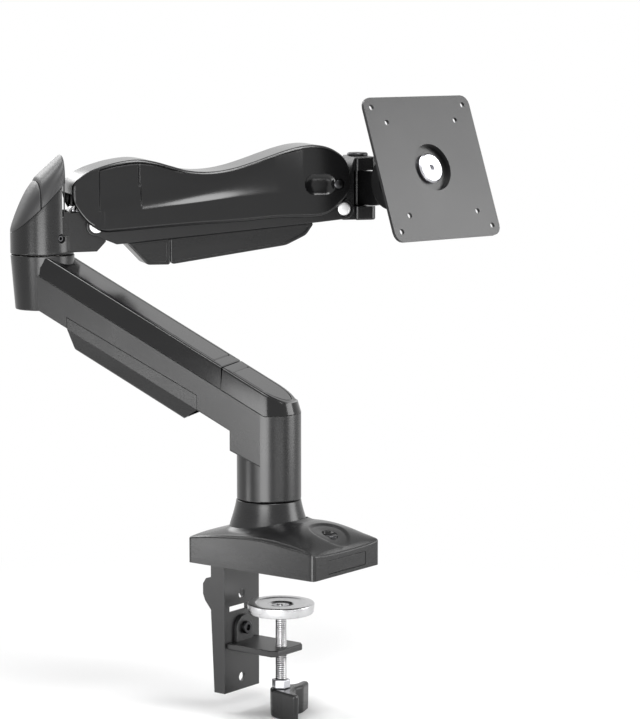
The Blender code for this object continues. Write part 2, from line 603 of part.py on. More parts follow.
def elbow_pieces(metal, steel, plastic, frame):
    low = ELBOW_JOINT_Z + GAP
    fork = FORK_HALF_WIDTH
    housing = make("elbow_housing", rod((0.0, 0.0), COLUMN_RADIUS, "z", low, 310.0, ROUND), metal, frame)
    slanted = [(-40.0, elbow_slope(-40.0)), (40.0, elbow_slope(40.0)), (40.0, 400.0), (-40.0, 400.0)]
    # The arm's rear edge swings past the housing, so above this the fork keeps close to the pin.
    swing_z, swing_front = 266.0, 15.0
    cheek_outline = [(0.0, low), (40.0, low + 1.5), (47.0, low + 9.0)] + [
        *arc(LINK_PIVOT, 9.7, -20, 50, 2), *arc(LIFT_PIVOT, 8.0, -15, 180, 5),
        (LIFT_PIVOT[0] - 8.5, swing_z), (0.0, swing_z)]
    join(housing, prism(cheek_outline, "y", -fork, fork),
         rod((0.0, 0.0), ELBOW_SHAFT_RADIUS, "z", ELBOW_SHAFT_END, low + 2.0, ROUND))
    shell = COLUMN_RADIUS - 3.0
    cut(housing, prism(slanted, "y", -40.0, 40.0),
        box((12.0, fork, low + 14.0), (40.0, 40.0, 330.0)),
        box((12.0, -40.0, low + 14.0), (40.0, -fork, 330.0)),
        prism([(swing_front, swing_z), (LIFT_PIVOT[0] - 9.0, swing_z), (LIFT_PIVOT[0] - 9.0, 330.0),
               (swing_front, 330.0)], "y", -40.0, 40.0),
        # The slot for the spring's rod, open above and in front.
        box((8.0, -FORK_SLOT, low + 9.0), (60.0, FORK_SLOT, 330.0)),
        prism(circle((0.0, 0.0), shell, ROUND), "z", 262.0, 330.0),
        rod(LIFT_PIVOT, PIN_RADIUS + GAP, "y", -30.0, 30.0),
        rod(LINK_PIVOT, LINK_PIN_RADIUS + GAP, "y", -30.0, 30.0),
        rod(SPRING_ANCHOR, SPRING_PIN_RADIUS + GAP, "y", -fork + 2.0, fork - 2.0, 12),
        rod((0.0, 0.0), 4.3, "z", 190.0, 218.0))
    # A wide flange under the bolt's head carries the shaft's weight on the boss.
    bolt_head, bolt_flange = ELBOW_SHAFT_END - 7.5, ELBOW_SHAFT_END - 3.0
    make("elbow_bolt", turned([
        (0.0, bolt_head + 3.5), (3.4, bolt_head + 3.5), (3.4, bolt_head), (7.0, bolt_head),
        (7.0, bolt_flange), (16.0, bolt_flange), (16.0, ELBOW_SHAFT_END - GAP), (4.0, ELBOW_SHAFT_END - GAP),
        (4.0, ELBOW_SHAFT_END + 18.0), (0.0, ELBOW_SHAFT_END + 18.0)]), steel, frame)

    # Domed covers on the slanted top: a low rear one and a higher front one.
    def dome(start, end, rise_start, rise_end, lift):
        loops = []
        count = 7
        for step in range(count):
            share = step / (count - 1)
            along = start + share * (end - start)
            wide = math.sqrt(max(COLUMN_RADIUS ** 2 - along ** 2, 9.0))
            base = elbow_slope(along) + GAP
            rise = rise_start + (rise_end - rise_start) * math.sin(share * math.pi / 2) + lift
            loops.append([(along, -wide, base), (along, wide, base), (along, 0.93 * wide, base + 0.55 * rise),
                          (along, 0.7 * wide, base + 0.85 * rise), (along, 0.0, base + rise),
                          (along, -0.7 * wide, base + 0.85 * rise), (along, -0.93 * wide, base + 0.55 * rise)])
        return loft(loops)

    make("elbow_rear_dome", dome(-24.6, -3.0, 3.0, 17.0, 0.0), plastic, frame)
    make("elbow_front_dome", dome(-3.0 + GAP, 14.0, 18.0, 12.0, 2.0), plastic, frame)
    make("friction_screw", turn_about(turned([
        (0.0, 14.0), (2.6, 14.0), (2.6, 23.6), (1.3, 23.6), (1.3, 21.5), (0.0, 21.5)],
        "x", (0.0, 246.0), 12), "Z", -63.0, (0.0, 0.0, 0.0)), steel, frame)
    cut(housing, turn_about(rod((0.0, 246.0), 2.6 + GAP, "x", 13.5, 30.0, 12), "Z", -63.0, (0.0, 0.0, 0.0)))
    make("spring_anchor_pin", rod(SPRING_ANCHOR, SPRING_PIN_RADIUS, "y", -fork + 2.0 + GAP, fork - 2.0 - GAP, 12),
         steel, frame)
    # Each pin is a short one on its own side, because the spring's rod swings between them.
    for side, sign in (("near", -1), ("far", 1)):
        make(f"lift_pin_{side}", turned([
            (0.0, sign * (FORK_SLOT + 1.0)), (PIN_RADIUS, sign * (FORK_SLOT + 1.0)),
            (PIN_RADIUS, sign * (fork + 3.6)), (0.0, sign * (fork + 3.6))],
            "y", LIFT_PIVOT, SMALL), steel, frame)
        make(f"link_pin_{side}", turned([
            (0.0, sign * (FORK_SLOT + 1.0)), (LINK_PIN_RADIUS, sign * (FORK_SLOT + 1.0)),
            (LINK_PIN_RADIUS, sign * LINK_HALF_WIDTH), (0.0, sign * LINK_HALF_WIDTH)],
            "y", LINK_PIVOT, SMALL), steel, frame)


# Upper arm ------------------------------------------------------------------------------------
def arm_outline():
    return [(29.5, 261.7), (24.5, 271.0), (22.6, 283.9), (28.6, 295.4), (45.0, 301.8), (73.4, 306.3),
            (98.0, 301.0), (124.2, 296.0), (150.0, 299.0), (180.0, 308.5), (205.0, 315.4),
            (222.0, 315.0), (233.0, 310.5), (240.5, 303.0), (243.5, 292.0), (243.0, 280.0),
            (238.5, 272.0), (232.0, 267.0), (227.0, 261.5), (214.6, 258.4), (187.0, 258.9), (152.9, 256.1),
            (86.9, 252.5), (54.0, 250.3), (47.0, 250.0), (36.0, 254.5)]


def link_floor(along):
    """Underside of the lower link."""
    return 240.2 + (254.4 - 240.2) * (along - 53.2) / (219.2 - 53.2)


def upper_arm_pieces(metal, steel, frame):
    shift = (-LIFT_PIVOT[0], 0.0, -LIFT_PIVOT[1])
    inside = ARM_HALF_WIDTH - ARM_WALL
    shell = make("upper_arm", soft_prism(arm_outline(), "y", -ARM_HALF_WIDTH, ARM_HALF_WIDTH, ARM_EDGE),
                 metal, frame, shift)
    hollow = [(15.0, 230.0), (15.0, 281.0), (27.0, 281.0), (33.0, 292.0), (73.4, 302.5), (98.0, 297.5),
              (124.2, 292.5), (150.0, 295.0), (180.0, 303.0), (205.0, 306.5), (222.0, 306.5),
              (255.0, 300.0), (255.0, 230.0)]
    lug = 6.5
    cut(shell, prism(hollow, "y", -inside, inside),
        rod(LIFT_PIVOT, PIN_RADIUS + GAP, "y", -inside - 1.4, inside + 1.4),
        rod(FRONT_LIFT_PIVOT, PIN_RADIUS + GAP, "y", -30.0, 30.0))
    # Seats inside the walls for the ends of the spring's front pin.
    boss_reach = SPRING_RADIUS + 2.0
    for sign in (-1, 1):
        bore = SPRING_PIN_RADIUS + GAP
        join(shell, turned([(bore, sign * boss_reach), (lug, sign * boss_reach), (lug, sign * (inside + 0.5)),
                            (bore, sign * (inside + 0.5))], "y", SPRING_FRONT, SMALL))
    make("spring_front_pin", rod(SPRING_FRONT, SPRING_PIN_RADIUS, "y", -inside + 1.0, inside - 1.0, 12), steel,
         frame, shift)
    outer = ARM_HALF_WIDTH - 0.3
    make("head_lift_pin", rod(FRONT_LIFT_PIVOT, PIN_RADIUS, "y", -outer, outer), steel, frame, shift)


def link_pieces(metal, plastic, frame):
    shift = (-LINK_PIVOT[0], 0.0, -LINK_PIVOT[1])
    outer = LINK_HALF_WIDTH
    wall = 2.5
    start, end = 55.0, 219.0
    outline = [(start, link_floor(start)), (end, link_floor(end)),
               *arc(FRONT_LINK_PIVOT, LINK_EYE, -80, 80, 5),
               (end, link_floor(end) + 8.5), (start + 10.0, link_floor(start) + 14.0),
               *arc(LINK_PIVOT, LINK_EYE, 80, 270, 6)]
    link = make("lower_link", prism(outline, "y", -outer, outer), metal, frame, shift)
    hollow = [(20.0, 262.0), (20.0, 225.0), (start + 3.0, 225.0), (start + 3.0, link_floor(start) + 2.5),
              (end - 6.0, link_floor(end - 6.0) + 2.5), (end - 6.0, 240.0), (270.0, 240.0), (270.0, 320.0),
              (20.0, 320.0)]
    cut(link, prism(hollow, "y", -outer + wall, outer - wall),
        rod(LINK_PIVOT, LINK_PIN_RADIUS + GAP, "y", -30.0, 30.0),
        rod(FRONT_LINK_PIVOT, LINK_PIN_RADIUS + GAP, "y", -30.0, 30.0))

    # The cable trays clip under the link, one behind the other.
    tray_wall = 2.0
    tray_half = 14.0
    tray_split = 99.0

    def tray(name, outline, hollow_outline):
        piece = make(name, soft_prism(outline, "y", -tray_half, tray_half, 1.5, 1), plastic, frame, shift)
        cut(piece, prism(hollow_outline, "y", -tray_half + tray_wall, tray_half - tray_wall))

    rear_end, front_end = 64.0, 217.0
    split_end = tray_split - GAP
    tray("cable_tray_rear",
         [(rear_end, link_floor(rear_end) - GAP), (80.6, 223.2), (split_end, 223.0),
          (split_end, link_floor(split_end) - GAP)],
         [(50.0, 260.0), (rear_end + 3.0, link_floor(rear_end) - 2.0), (81.5, 225.2), (110.0, 225.0),
          (110.0, 260.0)])
    tray("cable_tray_front",
         [(tray_split, link_floor(tray_split) - GAP), (tray_split, 223.0), (193.5, 236.2),
          (210.0, 244.0), (front_end, link_floor(front_end) - GAP)],
         [(90.0, 260.0), (90.0, 225.0), (192.5, 238.4), (206.0, 245.0), (208.0, 260.0)])


def spring_pieces(steel, dark, cylinder_frame, rod_frame):
    """Gas spring, drawn along its own axis: zero is the front pin and the rod runs to -X."""
    length = math.dist(SPRING_ANCHOR, SPRING_FRONT)
    eye = 6.0
    body_end = 34.0 - length
    cylinder = make("gas_cylinder", turned([
        (ROD_RADIUS + GAP, body_end), (SPRING_RADIUS, body_end), (SPRING_RADIUS, -14.0), (6.0, -10.0),
        (0.0, -10.0), (0.0, -24.0), (ROD_RADIUS + GAP, -24.0)], "x"), dark, cylinder_frame)
    join(cylinder, rod((0.0, 0.0), eye, "y", -5.0, 5.0), box((-14.0, -5.0, -4.5), (0.0, 5.0, 4.5)))
    cut(cylinder, rod((0.0, 0.0), SPRING_PIN_RADIUS + GAP, "y", -8.0, 8.0, 12))
    piston_rod = make("gas_rod", rod((0.0, 0.0), ROD_RADIUS, "x", -length, -length + 110.0), steel, rod_frame)
    join(piston_rod, rod((-length, 0.0), eye + 1.0, "y", -5.0, 5.0))
    cut(piston_rod, rod((-length, 0.0), SPRING_PIN_RADIUS + ROD_EYE_PLAY, "y", -8.0, 8.0))


# Head -----------------------------------------------------------------------------------------
def head_pieces(metal, steel, frame):
    shift = (-FRONT_LIFT_PIVOT[0], 0.0, -FRONT_LIFT_PIVOT[1])
    half = FORK_HALF_WIDTH
    yoke_half = 20.0
    low, high = 255.5, 305.5
    back, front = WRIST - 12.0, WRIST + 10.5
    gap_low, gap_high, gap_back = 266.0, 295.0, WRIST - 8.0
    tongue = arc(FRONT_LIFT_PIVOT, 8.0, 90, 210, 3) + [
        (FRONT_LINK_PIVOT[0] - 8.0, FRONT_LINK_PIVOT[1] + 2.0), (FRONT_LINK_PIVOT[0] - 7.0, FRONT_LINK_PIVOT[1] - 4.0),
        (FRONT_LINK_PIVOT[0], low), (gap_back + 2, low), (gap_back + 2, high),
        (back + 4.8, high), (back, FRONT_LIFT_PIVOT[1] + 8.0)]
    bracket = make("head_bracket", prism(tongue, "y", -half, half), metal, frame, shift)
    # Lobes above and below the swivel block, wider than the tongue between the arm's walls.
    lobes = rounded_rectangle((FRONT_LINK_PIVOT[0] + LINK_EYE + 1.5, -yoke_half), (front, yoke_half), 3.0, 2)
    join(bracket, prism(lobes, "z", low - 0.2, high + 0.2))
    cut(bracket, box((gap_back, -30.0, gap_low), (front + 5, 30.0, gap_high)),
        rod((WRIST, 0.0), SWIVEL_PIN_RADIUS + GAP, "z", 240.0, 320.0),
        rod(FRONT_LIFT_PIVOT, PIN_RADIUS + GAP, "y", -30.0, 30.0),
        rod(FRONT_LINK_PIVOT, LINK_PIN_RADIUS + GAP, "y", -30.0, 30.0))
    make("head_link_pin", rod(FRONT_LINK_PIVOT, LINK_PIN_RADIUS, "y", -LINK_HALF_WIDTH, LINK_HALF_WIDTH),
         steel, frame, shift)
    seat = high + 0.2 + GAP
    make("swivel_pin", turned([(0.0, low + 1.0), (SWIVEL_PIN_RADIUS, low + 1.0), (SWIVEL_PIN_RADIUS, seat),
                               (8.5, seat), (8.0, seat + 2.5), (0.0, seat + 2.5)], "z", (WRIST, 0.0), SMALL),
         steel, frame, shift)


def swivel_pieces(metal, frame):
    """Drawn about the wrist: +X points to the screen."""
    lug_half = 5.5
    reach = WRIST_TO_TILT
    clear_of_lobes = 26.0
    arm = [(0.0, 267.0), (clear_of_lobes, 267.0), (reach - 6.0, TILT_Z - 16.0), (reach, TILT_Z - 10.0),
           (reach, TILT_Z + 10.0), (reach - 10.0, TILT_Z + 13.0), (clear_of_lobes, 294.0), (0.0, 294.0)]
    block = make("swivel_block", rod((0.0, 0.0), 7.6, "z", 266.0 + GAP, 295.0 - GAP, ROUND), metal, frame)
    join(block, prism(arm, "y", -lug_half, lug_half),
         rod((reach, TILT_Z), TILT_RADIUS - 3.0, "y", -lug_half, lug_half, ROUND))
    cut(block, rod((0.0, 0.0), SWIVEL_PIN_RADIUS + GAP, "z", 240.0, 320.0),
        rod((reach, TILT_Z), PIN_RADIUS + GAP, "y", -20.0, 20.0))


def tilt_pieces(metal, steel, plastic, frame):
    """Drawn about the tilt axis: +X is the screen plate's normal."""
    lug_half = 5.5
    for side, sign in (("near", -1), ("far", 1)):
        make(f"tilt_washer_{side}", turned([
            (PIN_RADIUS + GAP, sign * (lug_half + GAP)), (15.0, sign * (lug_half + GAP)),
            (15.0, sign * (lug_half + 1.3)), (PIN_RADIUS + GAP, sign * (lug_half + 1.3))],
            "y", (0.0, 0.0), ROUND), plastic, frame)
    cheek_in = lug_half + 1.3 + GAP
    cheek_out = cheek_in + 5.0
    web_in, web_out = TILT_RADIUS + 1.5, TILT_RADIUS + 6.5
    bracket = make("tilt_bracket", rod((0.0, 0.0), TILT_RADIUS, "y", -cheek_out, cheek_out, ROUND),
                   metal, frame)
    join(bracket, box((0.0, -cheek_out, -TILT_RADIUS + 4), (web_out, cheek_out, TILT_RADIUS - 4)),
         rod((0.0, 0.0), 20.0, "x", web_in, web_out, ROUND))
    cut(bracket, box((-40.0, -cheek_in, -40.0), (web_in - 2.0, cheek_in, 40.0)),
        rod((0.0, 0.0), PIN_RADIUS + GAP, "y", -30.0, 30.0),
        rod((0.0, 0.0), 9.0, "y", -30.0, -cheek_out + 2.5),
        rod((0.0, 0.0), 9.0, "y", cheek_out - 2.5, 30.0),
        rod((0.0, 0.0), 3.0 + GAP, "x", 0.0, 40.0))
    make("tilt_bolt", socket_screw("y", (0.0, 0.0), 7.0, (-cheek_out - 1.5, -cheek_out + 2.5 - GAP),
                                   PIN_RADIUS, cheek_out + 2.0, 3.0), steel, frame)
    make("tilt_nut", washer("y", (0.0, 0.0), PIN_RADIUS + GAP, 7.5, cheek_out - 2.5 + GAP,
                            cheek_out + 2.5, 6), steel, frame)
    return web_out


def plate_pieces(metal, steel, plastic, frame, start):
    """Screen plate, drawn about its own centre line."""
    make("rotation_washer", washer("x", (0.0, 0.0), 3.0 + GAP, 18.0, start + GAP, start + 1.5, ROUND),
         plastic, frame)
    dish = start + 1.5 + GAP
    face = dish + 2.5 + 5.0
    half = SCREEN_PLATE / 2
    plate = make("screen_plate", prism(rounded_rectangle((-half, -half), (half, half), 8.0), "x",
                                       face - SCREEN_PLATE_THICKNESS, face), metal, frame)
    join(plate, rod((0.0, 0.0), 22.0, "x", dish, face - 1.0, ROUND))
    holes = [rod((sign_a * size / 2, sign_b * size / 2), VESA_HOLE_RADIUS, "x", face - 6, face + 2, 12)
             for size in (VESA_SMALL, VESA_LARGE) for sign_a in (-1, 1) for sign_b in (-1, 1)]
    cut(plate, rod((0.0, 0.0), 19.0, "x", dish + 2.5, face + 2.0, ROUND),
        rod((0.0, 0.0), 3.0 + GAP, "x", dish - 2, face), *holes)
    make("rotation_bolt", socket_screw("x", (0.0, 0.0), 12.0, (dish + 2.5 + 3.8, dish + 2.5 + GAP),
                                       3.0, TILT_RADIUS - 1.0, 2.5), steel, frame)


# Assembly -------------------------------------------------------------------------------------
def build():
    clear_scene()
    black_metal = finish("black_metal", (0.012, 0.012, 0.013), 0.32, 0.3)
    black_plastic = finish("black_plastic", (0.010, 0.010, 0.011), 0.28, 0.0)
    steel = finish("steel", (0.62, 0.62, 0.63), 0.22, 1.0)
    nylon = finish("nylon", (0.78, 0.77, 0.73), 0.5, 0.0)
    rubber = finish("rubber", (0.02, 0.02, 0.02), 0.8, 0.0)
    black_steel = finish("black_steel", (0.015, 0.015, 0.016), 0.4, 0.6)

    base = empty("base_origin", None, (0.0, 0.0, 0.0))
    base_pieces(black_steel, black_plastic, rubber, base)
    disc = empty("clamp_disc_axis", base, (0.0, CLAMP_SCREW_Y, 0.0))
    screw = empty("clamp_screw_axis", disc, (0.0, 0.0, 0.0))
    clamp_pieces(steel, black_plastic, disc, screw)

    column = empty("base_swivel_axis", base, (0.0, 0.0, 0.0), LOWER_HEADING)
    lower_arm_pieces(black_metal, steel, black_plastic, column)
    elbow = empty("elbow_swivel_axis", column, (LOWER_REACH, 0.0, 0.0), UPPER_HEADING - LOWER_HEADING)
    elbow_pieces(black_metal, steel, black_plastic, elbow)

    lift = empty("lift_axis", elbow, (LIFT_PIVOT[0], 0.0, LIFT_PIVOT[1]))
    upper_arm_pieces(black_metal, steel, lift)
    link = empty("link_axis", elbow, (LINK_PIVOT[0], 0.0, LINK_PIVOT[1]))
    link_pieces(black_metal, black_plastic, link)
    run = (SPRING_FRONT[0] - SPRING_ANCHOR[0], SPRING_FRONT[1] - SPRING_ANCHOR[1])
    spring = empty("spring_axis", lift, (SPRING_FRONT[0] - LIFT_PIVOT[0], 0.0, SPRING_FRONT[1] - LIFT_PIVOT[1]),
                   0.0, -math.degrees(math.atan2(run[1], run[0])))
    plunger = empty("spring_rod_axis", spring, (0.0, 0.0, 0.0))
    spring_pieces(steel, black_metal, spring, plunger)

    head = empty("head_axis", lift, (FRONT_LIFT_PIVOT[0] - LIFT_PIVOT[0], 0.0,
                                     FRONT_LIFT_PIVOT[1] - LIFT_PIVOT[1]))
    head_pieces(black_metal, steel, head)
    wrist = empty("head_swivel_axis", head, (WRIST - FRONT_LIFT_PIVOT[0], 0.0, -FRONT_LIFT_PIVOT[1]),
                  PLATE_HEADING - UPPER_HEADING)
    swivel_pieces(black_metal, wrist)
    tilt = empty("tilt_axis", wrist, (WRIST_TO_TILT, 0.0, TILT_Z), 0.0, -TILT_BACK)
    web_out = tilt_pieces(black_metal, steel, nylon, tilt)
    plate = empty("plate_rotate_axis", tilt, (0.0, 0.0, 0.0))
    plate_pieces(black_metal, steel, nylon, plate, web_out)


build()
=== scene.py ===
"""Looks of a desk-clamp monitor arm with a gas-spring upper arm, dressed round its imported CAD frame.

Shapes are worked out in millimetres in the frame of the body they ride on, where the first axis runs
along the arm, the second across it and the third up, and are set in the world in metres.
"""
from __future__ import annotations

import json
import logging
import math
from dataclasses import dataclass, field
from enum import Enum

import bmesh
import bpy
import numpy as np
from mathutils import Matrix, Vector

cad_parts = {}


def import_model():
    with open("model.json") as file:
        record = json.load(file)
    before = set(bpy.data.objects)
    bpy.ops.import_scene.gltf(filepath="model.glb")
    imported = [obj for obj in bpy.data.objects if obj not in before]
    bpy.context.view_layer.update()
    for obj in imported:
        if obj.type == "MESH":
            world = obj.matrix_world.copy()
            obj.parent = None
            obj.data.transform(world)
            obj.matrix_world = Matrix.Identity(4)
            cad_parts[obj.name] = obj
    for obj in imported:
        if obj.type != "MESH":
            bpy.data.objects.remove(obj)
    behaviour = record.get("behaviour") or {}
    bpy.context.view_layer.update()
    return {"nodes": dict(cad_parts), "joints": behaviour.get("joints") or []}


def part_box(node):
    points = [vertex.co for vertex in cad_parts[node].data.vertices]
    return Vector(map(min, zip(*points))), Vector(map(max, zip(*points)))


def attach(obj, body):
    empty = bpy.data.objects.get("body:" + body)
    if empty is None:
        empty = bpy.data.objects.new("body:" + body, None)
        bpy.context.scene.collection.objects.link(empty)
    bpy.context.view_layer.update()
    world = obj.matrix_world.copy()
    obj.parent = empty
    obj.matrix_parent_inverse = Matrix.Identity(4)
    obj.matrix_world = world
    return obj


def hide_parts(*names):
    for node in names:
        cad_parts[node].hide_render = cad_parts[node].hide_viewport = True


Array = np.ndarray
Point = tuple[float, float]

MM = 0.001
GAP = 0.3
CLOSE = 1.5e-6
WHITE = (1.0, 1.0, 1.0, 1.0)
log = logging.getLogger("monitor_arm")


class Body(Enum):
    """The moving groups that a piece can ride on."""

    BASE = "base"
    DISC = "clamp_disc"
    SPINDLE = "clamp_spindle"
    LOWER_ARM = "lower_arm"
    ELBOW = "elbow"
    UPPER_ARM = "upper_arm"
    LINK = "lower_link"
    CYLINDER = "spring_cylinder"
    ROD = "spring_rod"
    HEAD = "head"
    SWIVEL = "swivel"
    TILT = "tilt"
    SCREEN = "screen_mount"


class Axis(Enum):
    """The direction that a turned or sawn-out shape stands along."""

    ALONG = 0
    ACROSS = 1
    UP = 2


# Shapes -----------------------------------------------------------------------------------------
@dataclass
class Shape:
    """A closed surface: points in millimetres, and faces as lists of point numbers."""

    points: Array
    faces: list[list[int]]


def skin(loops: Array, joined: bool = False) -> Shape:
    """Cover a stack of closed rings with four-sided faces.

    Args:
        loops: Rings as an array of rings by points by 3.
        joined: Whether the last ring meets the first, as round a washer; otherwise both ends close flat.

    Returns:
        The closed surface.
    """
    rings, count, _ = loops.shape
    number = np.arange(rings * count).reshape(rings, count)
    low = number if joined else number[:-1]
    high = np.roll(number, -1, 0) if joined else number[1:]
    quads = np.stack([low, np.roll(low, -1, 1), np.roll(high, -1, 1), high], -1).reshape(-1, 4)
    faces = quads.tolist()
    if not joined:
        faces += [number[0, ::-1].tolist(), number[-1].tolist()]
    return Shape(loops.reshape(-1, 3), faces)


def rounded(corners: list[Point] | Array, radius: float | list[float] | Array, steps: int = 6) -> Array:
    """Round each corner of a polygon with an arc that touches both of its sides.

    The arc's centre lies on the corner's bisector at radius / sin(half angle), and its points are
    spherical means of the two touching radii.

    Args:
        corners: The polygon's corners in order.
        radius: One radius, or one for each corner; it is kept under half of the shorter side.
        steps: Number of facets in each arc.

    Returns:
        The outline as an array of points by 2.
    """
    corner = np.asarray(corners, float)
    back, ahead = np.roll(corner, 1, 0) - corner, np.roll(corner, -1, 0) - corner
    back_run, ahead_run = np.linalg.norm(back, axis=1), np.linalg.norm(ahead, axis=1)
    back, ahead = back / back_run[:, None], ahead / ahead_run[:, None]
    half = 0.5 * np.arccos(np.clip((back * ahead).sum(1), -0.99999, 0.99999))
    touch = np.minimum(np.broadcast_to(radius, len(corner)) / np.tan(half),
                       0.49 * np.minimum(back_run, ahead_run))
    reach = np.maximum(touch * np.tan(half), 1e-4)
    bisector = back + ahead
    bisector /= np.maximum(np.linalg.norm(bisector, axis=1), 1e-9)[:, None]
    centre = corner + bisector * (reach / np.sin(half))[:, None]
    first, last = corner + back * touch[:, None] - centre, corner + ahead * touch[:, None] - centre
    sweep = np.maximum(math.pi - 2.0 * half, 1e-4)[:, None, None]
    share = np.linspace(0.0, 1.0, steps + 1)[None, :, None]
    early, late = np.sin((1.0 - share) * sweep) * first[:, None], np.sin(share * sweep) * last[:, None]
    arc = (early + late) / np.sin(sweep)
    return (arc + centre[:, None]).reshape(-1, 2)


def inset(outline: Array, distance: float) -> Array:
    """Move an outline inward: each point goes along the sum of its sides' normals, mitred."""
    ahead = np.roll(outline, -1, 0) - outline
    ahead /= np.maximum(np.linalg.norm(ahead, axis=1), 1e-9)[:, None]
    area = np.sum(outline[:, 0] * np.roll(outline[:, 1], -1) - np.roll(outline[:, 0], -1) * outline[:, 1])
    normal = math.copysign(1.0, area) * np.stack([-ahead[:, 1], ahead[:, 0]], 1)
    before = np.roll(normal, 1, 0)
    return outline + distance * (normal + before) / (1.0 + (normal * before).sum(1))[:, None]


def stand(outline: Array, heights: Array, axis: Axis) -> Array:
    """Set flat outlines (rings by points by 2) at heights along an axis, as rings of 3-D points."""
    level = np.broadcast_to(heights[:, None, None], outline.shape[:2] + (1,))
    first, second = outline[..., :1], outline[..., 1:]
    order = {Axis.ALONG: (level, first, second), Axis.ACROSS: (first, level, second),
             Axis.UP: (first, second, level)}[axis]
    return np.concatenate(order, -1)


def slab(outline: Array, low: float, high: float, rim: float, axis: Axis, steps: int = 4) -> Shape:
    """A sawn-out plate whose two rims are quarter rounds of radius rim.

    On the quarter round at turn t the outline is inset by rim (1 - sin t) at depth rim (1 - cos t). One
    more ring stands just inside each end of the round, so that the flats keep their shading.
    """
    turn = np.linspace(0.0, math.pi / 2, steps + 1)
    inward = np.concatenate([[1.15 * rim], rim * (1.0 - np.sin(turn)), [0.0]])
    depth = np.concatenate([[0.0], rim * (1.0 - np.cos(turn)), [1.15 * rim]])
    rings = np.stack([inset(outline, step) for step in np.concatenate([inward, inward[::-1]])])
    return skin(stand(rings, np.concatenate([low + depth, high - depth[::-1]]), axis))


def turned(profile: list[Point] | Array, axis: Axis = Axis.UP, centre: Point = (0.0, 0.0), sides: int = 96,
           ring: bool = False) -> Shape:
    """A surface of revolution: each profile point (radius, height) sweeps a circle about the centre."""
    line = np.asarray(profile, float)
    angle = np.linspace(0.0, math.tau, sides, endpoint=False)
    circle = np.stack([np.cos(angle), np.sin(angle)], -1)
    rings = np.asarray(centre) + np.maximum(line[:, 0], 0.02)[:, None, None] * circle[None]
    return skin(stand(rings, line[:, 1], axis), ring)


def smooth(value: Array, knots: list[float], heights: list[float]) -> Array:
    """A cubic Hermite curve through knots, with slopes by central difference."""
    x, y = np.asarray(knots, float), np.asarray(heights, float)
    slope = np.gradient(y, x)
    cell = np.clip(np.searchsorted(x, value) - 1, 0, len(x) - 2)
    width = x[cell + 1] - x[cell]
    t = np.clip((value - x[cell]) / width, 0.0, 1.0)
    return ((2 * t ** 3 - 3 * t ** 2 + 1) * y[cell] + (t ** 3 - 2 * t ** 2 + t) * width * slope[cell]
            + (3 * t ** 2 - 2 * t ** 3) * y[cell + 1] + (t ** 3 - t ** 2) * width * slope[cell + 1])


def ease(value: Array | float) -> Array:
    """Smooth step: 3 t^2 - 2 t^3 with t held between 0 and 1."""
    t = np.clip(value, 0.0, 1.0)
    return t * t * (3.0 - 2.0 * t)


def disc(centre: Point, radius: float, sides: int = 64) -> Array:
    """Outline of a circle."""
    angle = np.linspace(0.0, math.tau, sides, endpoint=False)
    return np.stack([centre[0] + radius * np.cos(angle), centre[1] + radius * np.sin(angle)], -1)


def block(low: tuple[float, float, float], high: tuple[float, float, float], edge: float,
          rim: float) -> Shape:
    """An upright block with corner radius edge, kept over its rims, and quarter-round top and bottom rims."""
    (x0, y0, z0), (x1, y1, z1) = low, high
    edge = max(edge, 1.4 * rim)
    return slab(rounded([(x0, y0), (x1, y0), (x1, y1), (x0, y1)], edge), z0, z1, rim, Axis.UP)


# Placing pieces ---------------------------------------------------------------------------------
@dataclass(frozen=True)
class Place:
    """Where a body's own frame stands: its origin in metres, its heading and how far it leans back."""

    origin: tuple[float, float, float] = (0.0, 0.0, 0.0)
    heading: float = 0.0
    lean: float = 0.0

    def world(self, points: Array) -> Array:
        """Lean the points about the cross axis, head them about the vertical, and move them, in metres."""
        cos_l, sin_l = math.cos(self.lean), math.sin(self.lean)
        cos_h, sin_h = math.cos(self.heading), math.sin(self.heading)
        leaning = np.array([[cos_l, 0.0, -sin_l], [0.0, 1.0, 0.0], [sin_l, 0.0, cos_l]])
        heading = np.array([[cos_h, -sin_h, 0.0], [sin_h, cos_h, 0.0], [0.0, 0.0, 1.0]])
        return points * MM @ (heading @ leaning).T + np.asarray(self.origin)


@dataclass(frozen=True)
class Places:
    """The frames of the arm's bodies at rest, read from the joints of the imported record."""

    base: Place
    clamp: Place
    lower: Place
    upper: Place
    spring: Place
    wrist: Place
    tilt: Place

    @classmethod
    def from_joints(cls, joints: list[dict]) -> "Places":
        """Read the frames.

        Args:
            joints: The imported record's joints.

        Returns:
            The frames. An arm's heading follows from its elbow's place or from its pins' axis.
        """
        joint = {entry["name"]: entry for entry in joints}
        elbow_x, elbow_y, _ = joint["elbow_swivel"]["pos_m"]
        pin, out = joint["lift"]["axis"], joint["spring_stroke"]["axis"]
        normal = joint["screen_turn"]["axis"]
        wrist_x, wrist_y, _ = joint["head_swivel"]["pos_m"]
        screw_x, screw_y, _ = joint["screw_spin"]["pos_m"]
        upper_heading, plate_heading = math.atan2(pin[0], -pin[1]), math.atan2(normal[1], normal[0])
        return cls(
            Place(), Place((screw_x, screw_y, 0.0)),
            Place((0.0, 0.0, 0.0), math.atan2(elbow_y, elbow_x)),
            Place((elbow_x, elbow_y, 0.0), upper_heading),
            Place(tuple(joint["spring_swing"]["pos_m"]), upper_heading, math.asin(-out[2])),
            Place((wrist_x, wrist_y, 0.0), plate_heading),
            Place(tuple(joint["screen_tilt"]["pos_m"]), plate_heading, math.asin(normal[2])))


